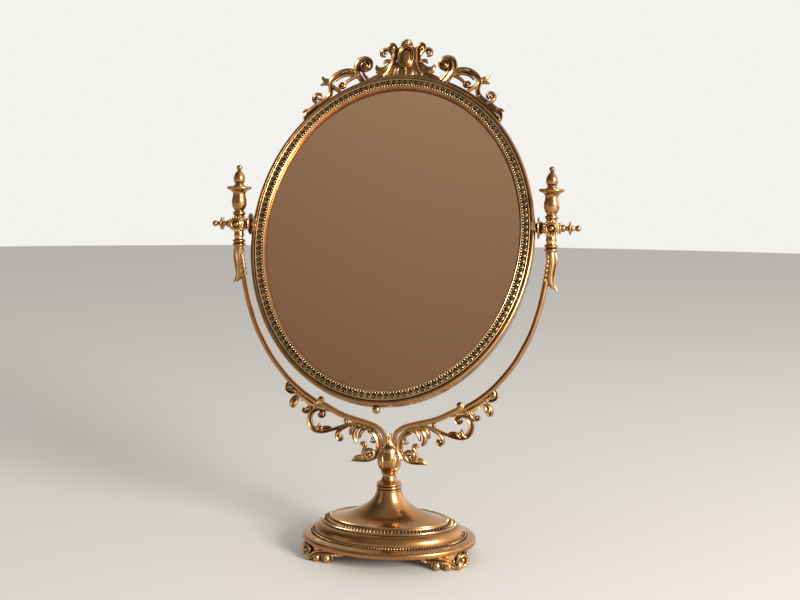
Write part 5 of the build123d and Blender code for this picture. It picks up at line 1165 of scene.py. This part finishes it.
cartouche = bmesh.new()
oval_moulding(cartouche, [(9.0, 12.8, -2.2), (9.4, 13.2, -1.0), (9.2, 13.0, 1.2), (6.2, 10.0, 1.2), (6.2, 10.0, -2.2)],
              48, Matrix.Translation((0, CARTOUCHE_Y, 0)))
ring_stroke(cartouche, 8.4, 12.4, 2.2, 2.2, 1.6)
ring_stroke(cartouche, 6.5, 10.3, 1.3, 1.4, 2.4)
stroke(cartouche, [(0, 165.0, 44.0), (0, 170.0, 38.0), (0, 176.0, 28.0), (0, 183.0, 20.0), (0, 196.0, 22.0),
                   (0, 201.0, 18.0)], 1.3, round_ends=(False, False))
turned(cartouche, [(AXIS, -2.1), (6.0, -2.1), (6.4, -1.2), (5.8, 0.2), (3.0, 1.4), (AXIS, 1.6)],
       Matrix.Translation((0, 203.4, 0)) @ Matrix.Diagonal((1, 1.1, 1, 1)))
for step in range(9):
    fan = math.radians(-84 + 21 * step)
    reach_out = Vector((math.sin(fan), math.cos(fan)))
    rib = [(reach_out.x * reach * 0.9, 202.2 + reach_out.y * reach * 1.08, width)
           for reach, width in ((0.8, 0.9), (4.0, 1.8), (6.6, 2.2))]
    stroke(cartouche, rib, 1.4, lift=0.5)
ball(cartouche, (0, 201.8, 1.6), 2.2, (1.3, 0.8, 0.7))
stroke(cartouche, [(0, 165.6, 5.0), (0, 170.6, 7.0), (0, 176.4, 5.0)], 2.2, RIDGED)
ball(cartouche, (0, 174.4, 1.4), 2.2)
add_shape(crest, cartouche, [Matrix.Translation((CREST_ASIDE, 0, 0))])

# %% Lugs behind the frame
def block(target, centre, size):
    """A block with its edges taken off."""
    shape = bmesh.new()
    bmesh.ops.create_cube(shape, size=1.0)
    bmesh.ops.scale(shape, vec=size, verts=shape.verts)
    bmesh.ops.bevel(shape, geom=shape.edges, offset=0.3, segments=2, profile=0.5, affect="EDGES", material=-1)
    add_shape(target, shape, [Matrix.Translation(centre)])


for side in (-22, 22):
    seat = above_frame(side, 0)[1]
    block(crest, (side, seat - 3.45, -10.4), (9.0, 12.1, 1.8))
    block(crest, (side, seat + 0.4, -6.2), (9.0, 4.4, 8.4))
bmesh.ops.transform(crest, matrix=MIRROR_PLANE, verts=crest.verts)
# The crest's darker brass is painted shade.
finish_piece(crest, "crest_dressed", "mirror", shaded_crest_brass, ["crest"], 45)

# %% Cabochon
stone = bmesh.new()
turned(stone, [(AXIS, -0.2), (6.0, -0.2), (6.0, 1.2), (5.7, 2.0), (4.8, 2.8), (3.4, 3.3), (1.6, 3.55), (AXIS, 3.6)],
       MIRROR_PLANE @ Matrix.Translation((CREST_ASIDE, CARTOUCHE_Y, 0)) @ Matrix.Diagonal((1, 1.6, 1, 1)))
finish_piece(stone, "cabochon", "mirror", smooth_brass, ["crest_cabochon"], 45)

# %% [markdown]
# ## What the CAD already has right
# Glass, board, cover, clips, screws and the tie rod are plain shapes; they keep their CAD solids and get a finish.

# %% Finish the CAD nodes
finishes = dict.fromkeys(("clamp_bar", "tie_rod", "tie_rod_nut", "tie_rod_washer", "foot_screws", "clip_screws",
                          "crest_screws", "retaining_clips", "left_pivot_screw", "right_pivot_screw"), steel)
finishes.update(mirror_glass=glass, backing_board=board, back_cover=cover, bottom_ball=smooth_brass)
for name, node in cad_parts.items():
    node.data.materials.clear()
    node.data.materials.append(finishes.get(name, brass))
print("finished", len(finishes), "CAD nodes")

# %% [markdown]
# ## Bring the scene up to date
# The view layer is updated once more.


bpy.context.view_layer.update()
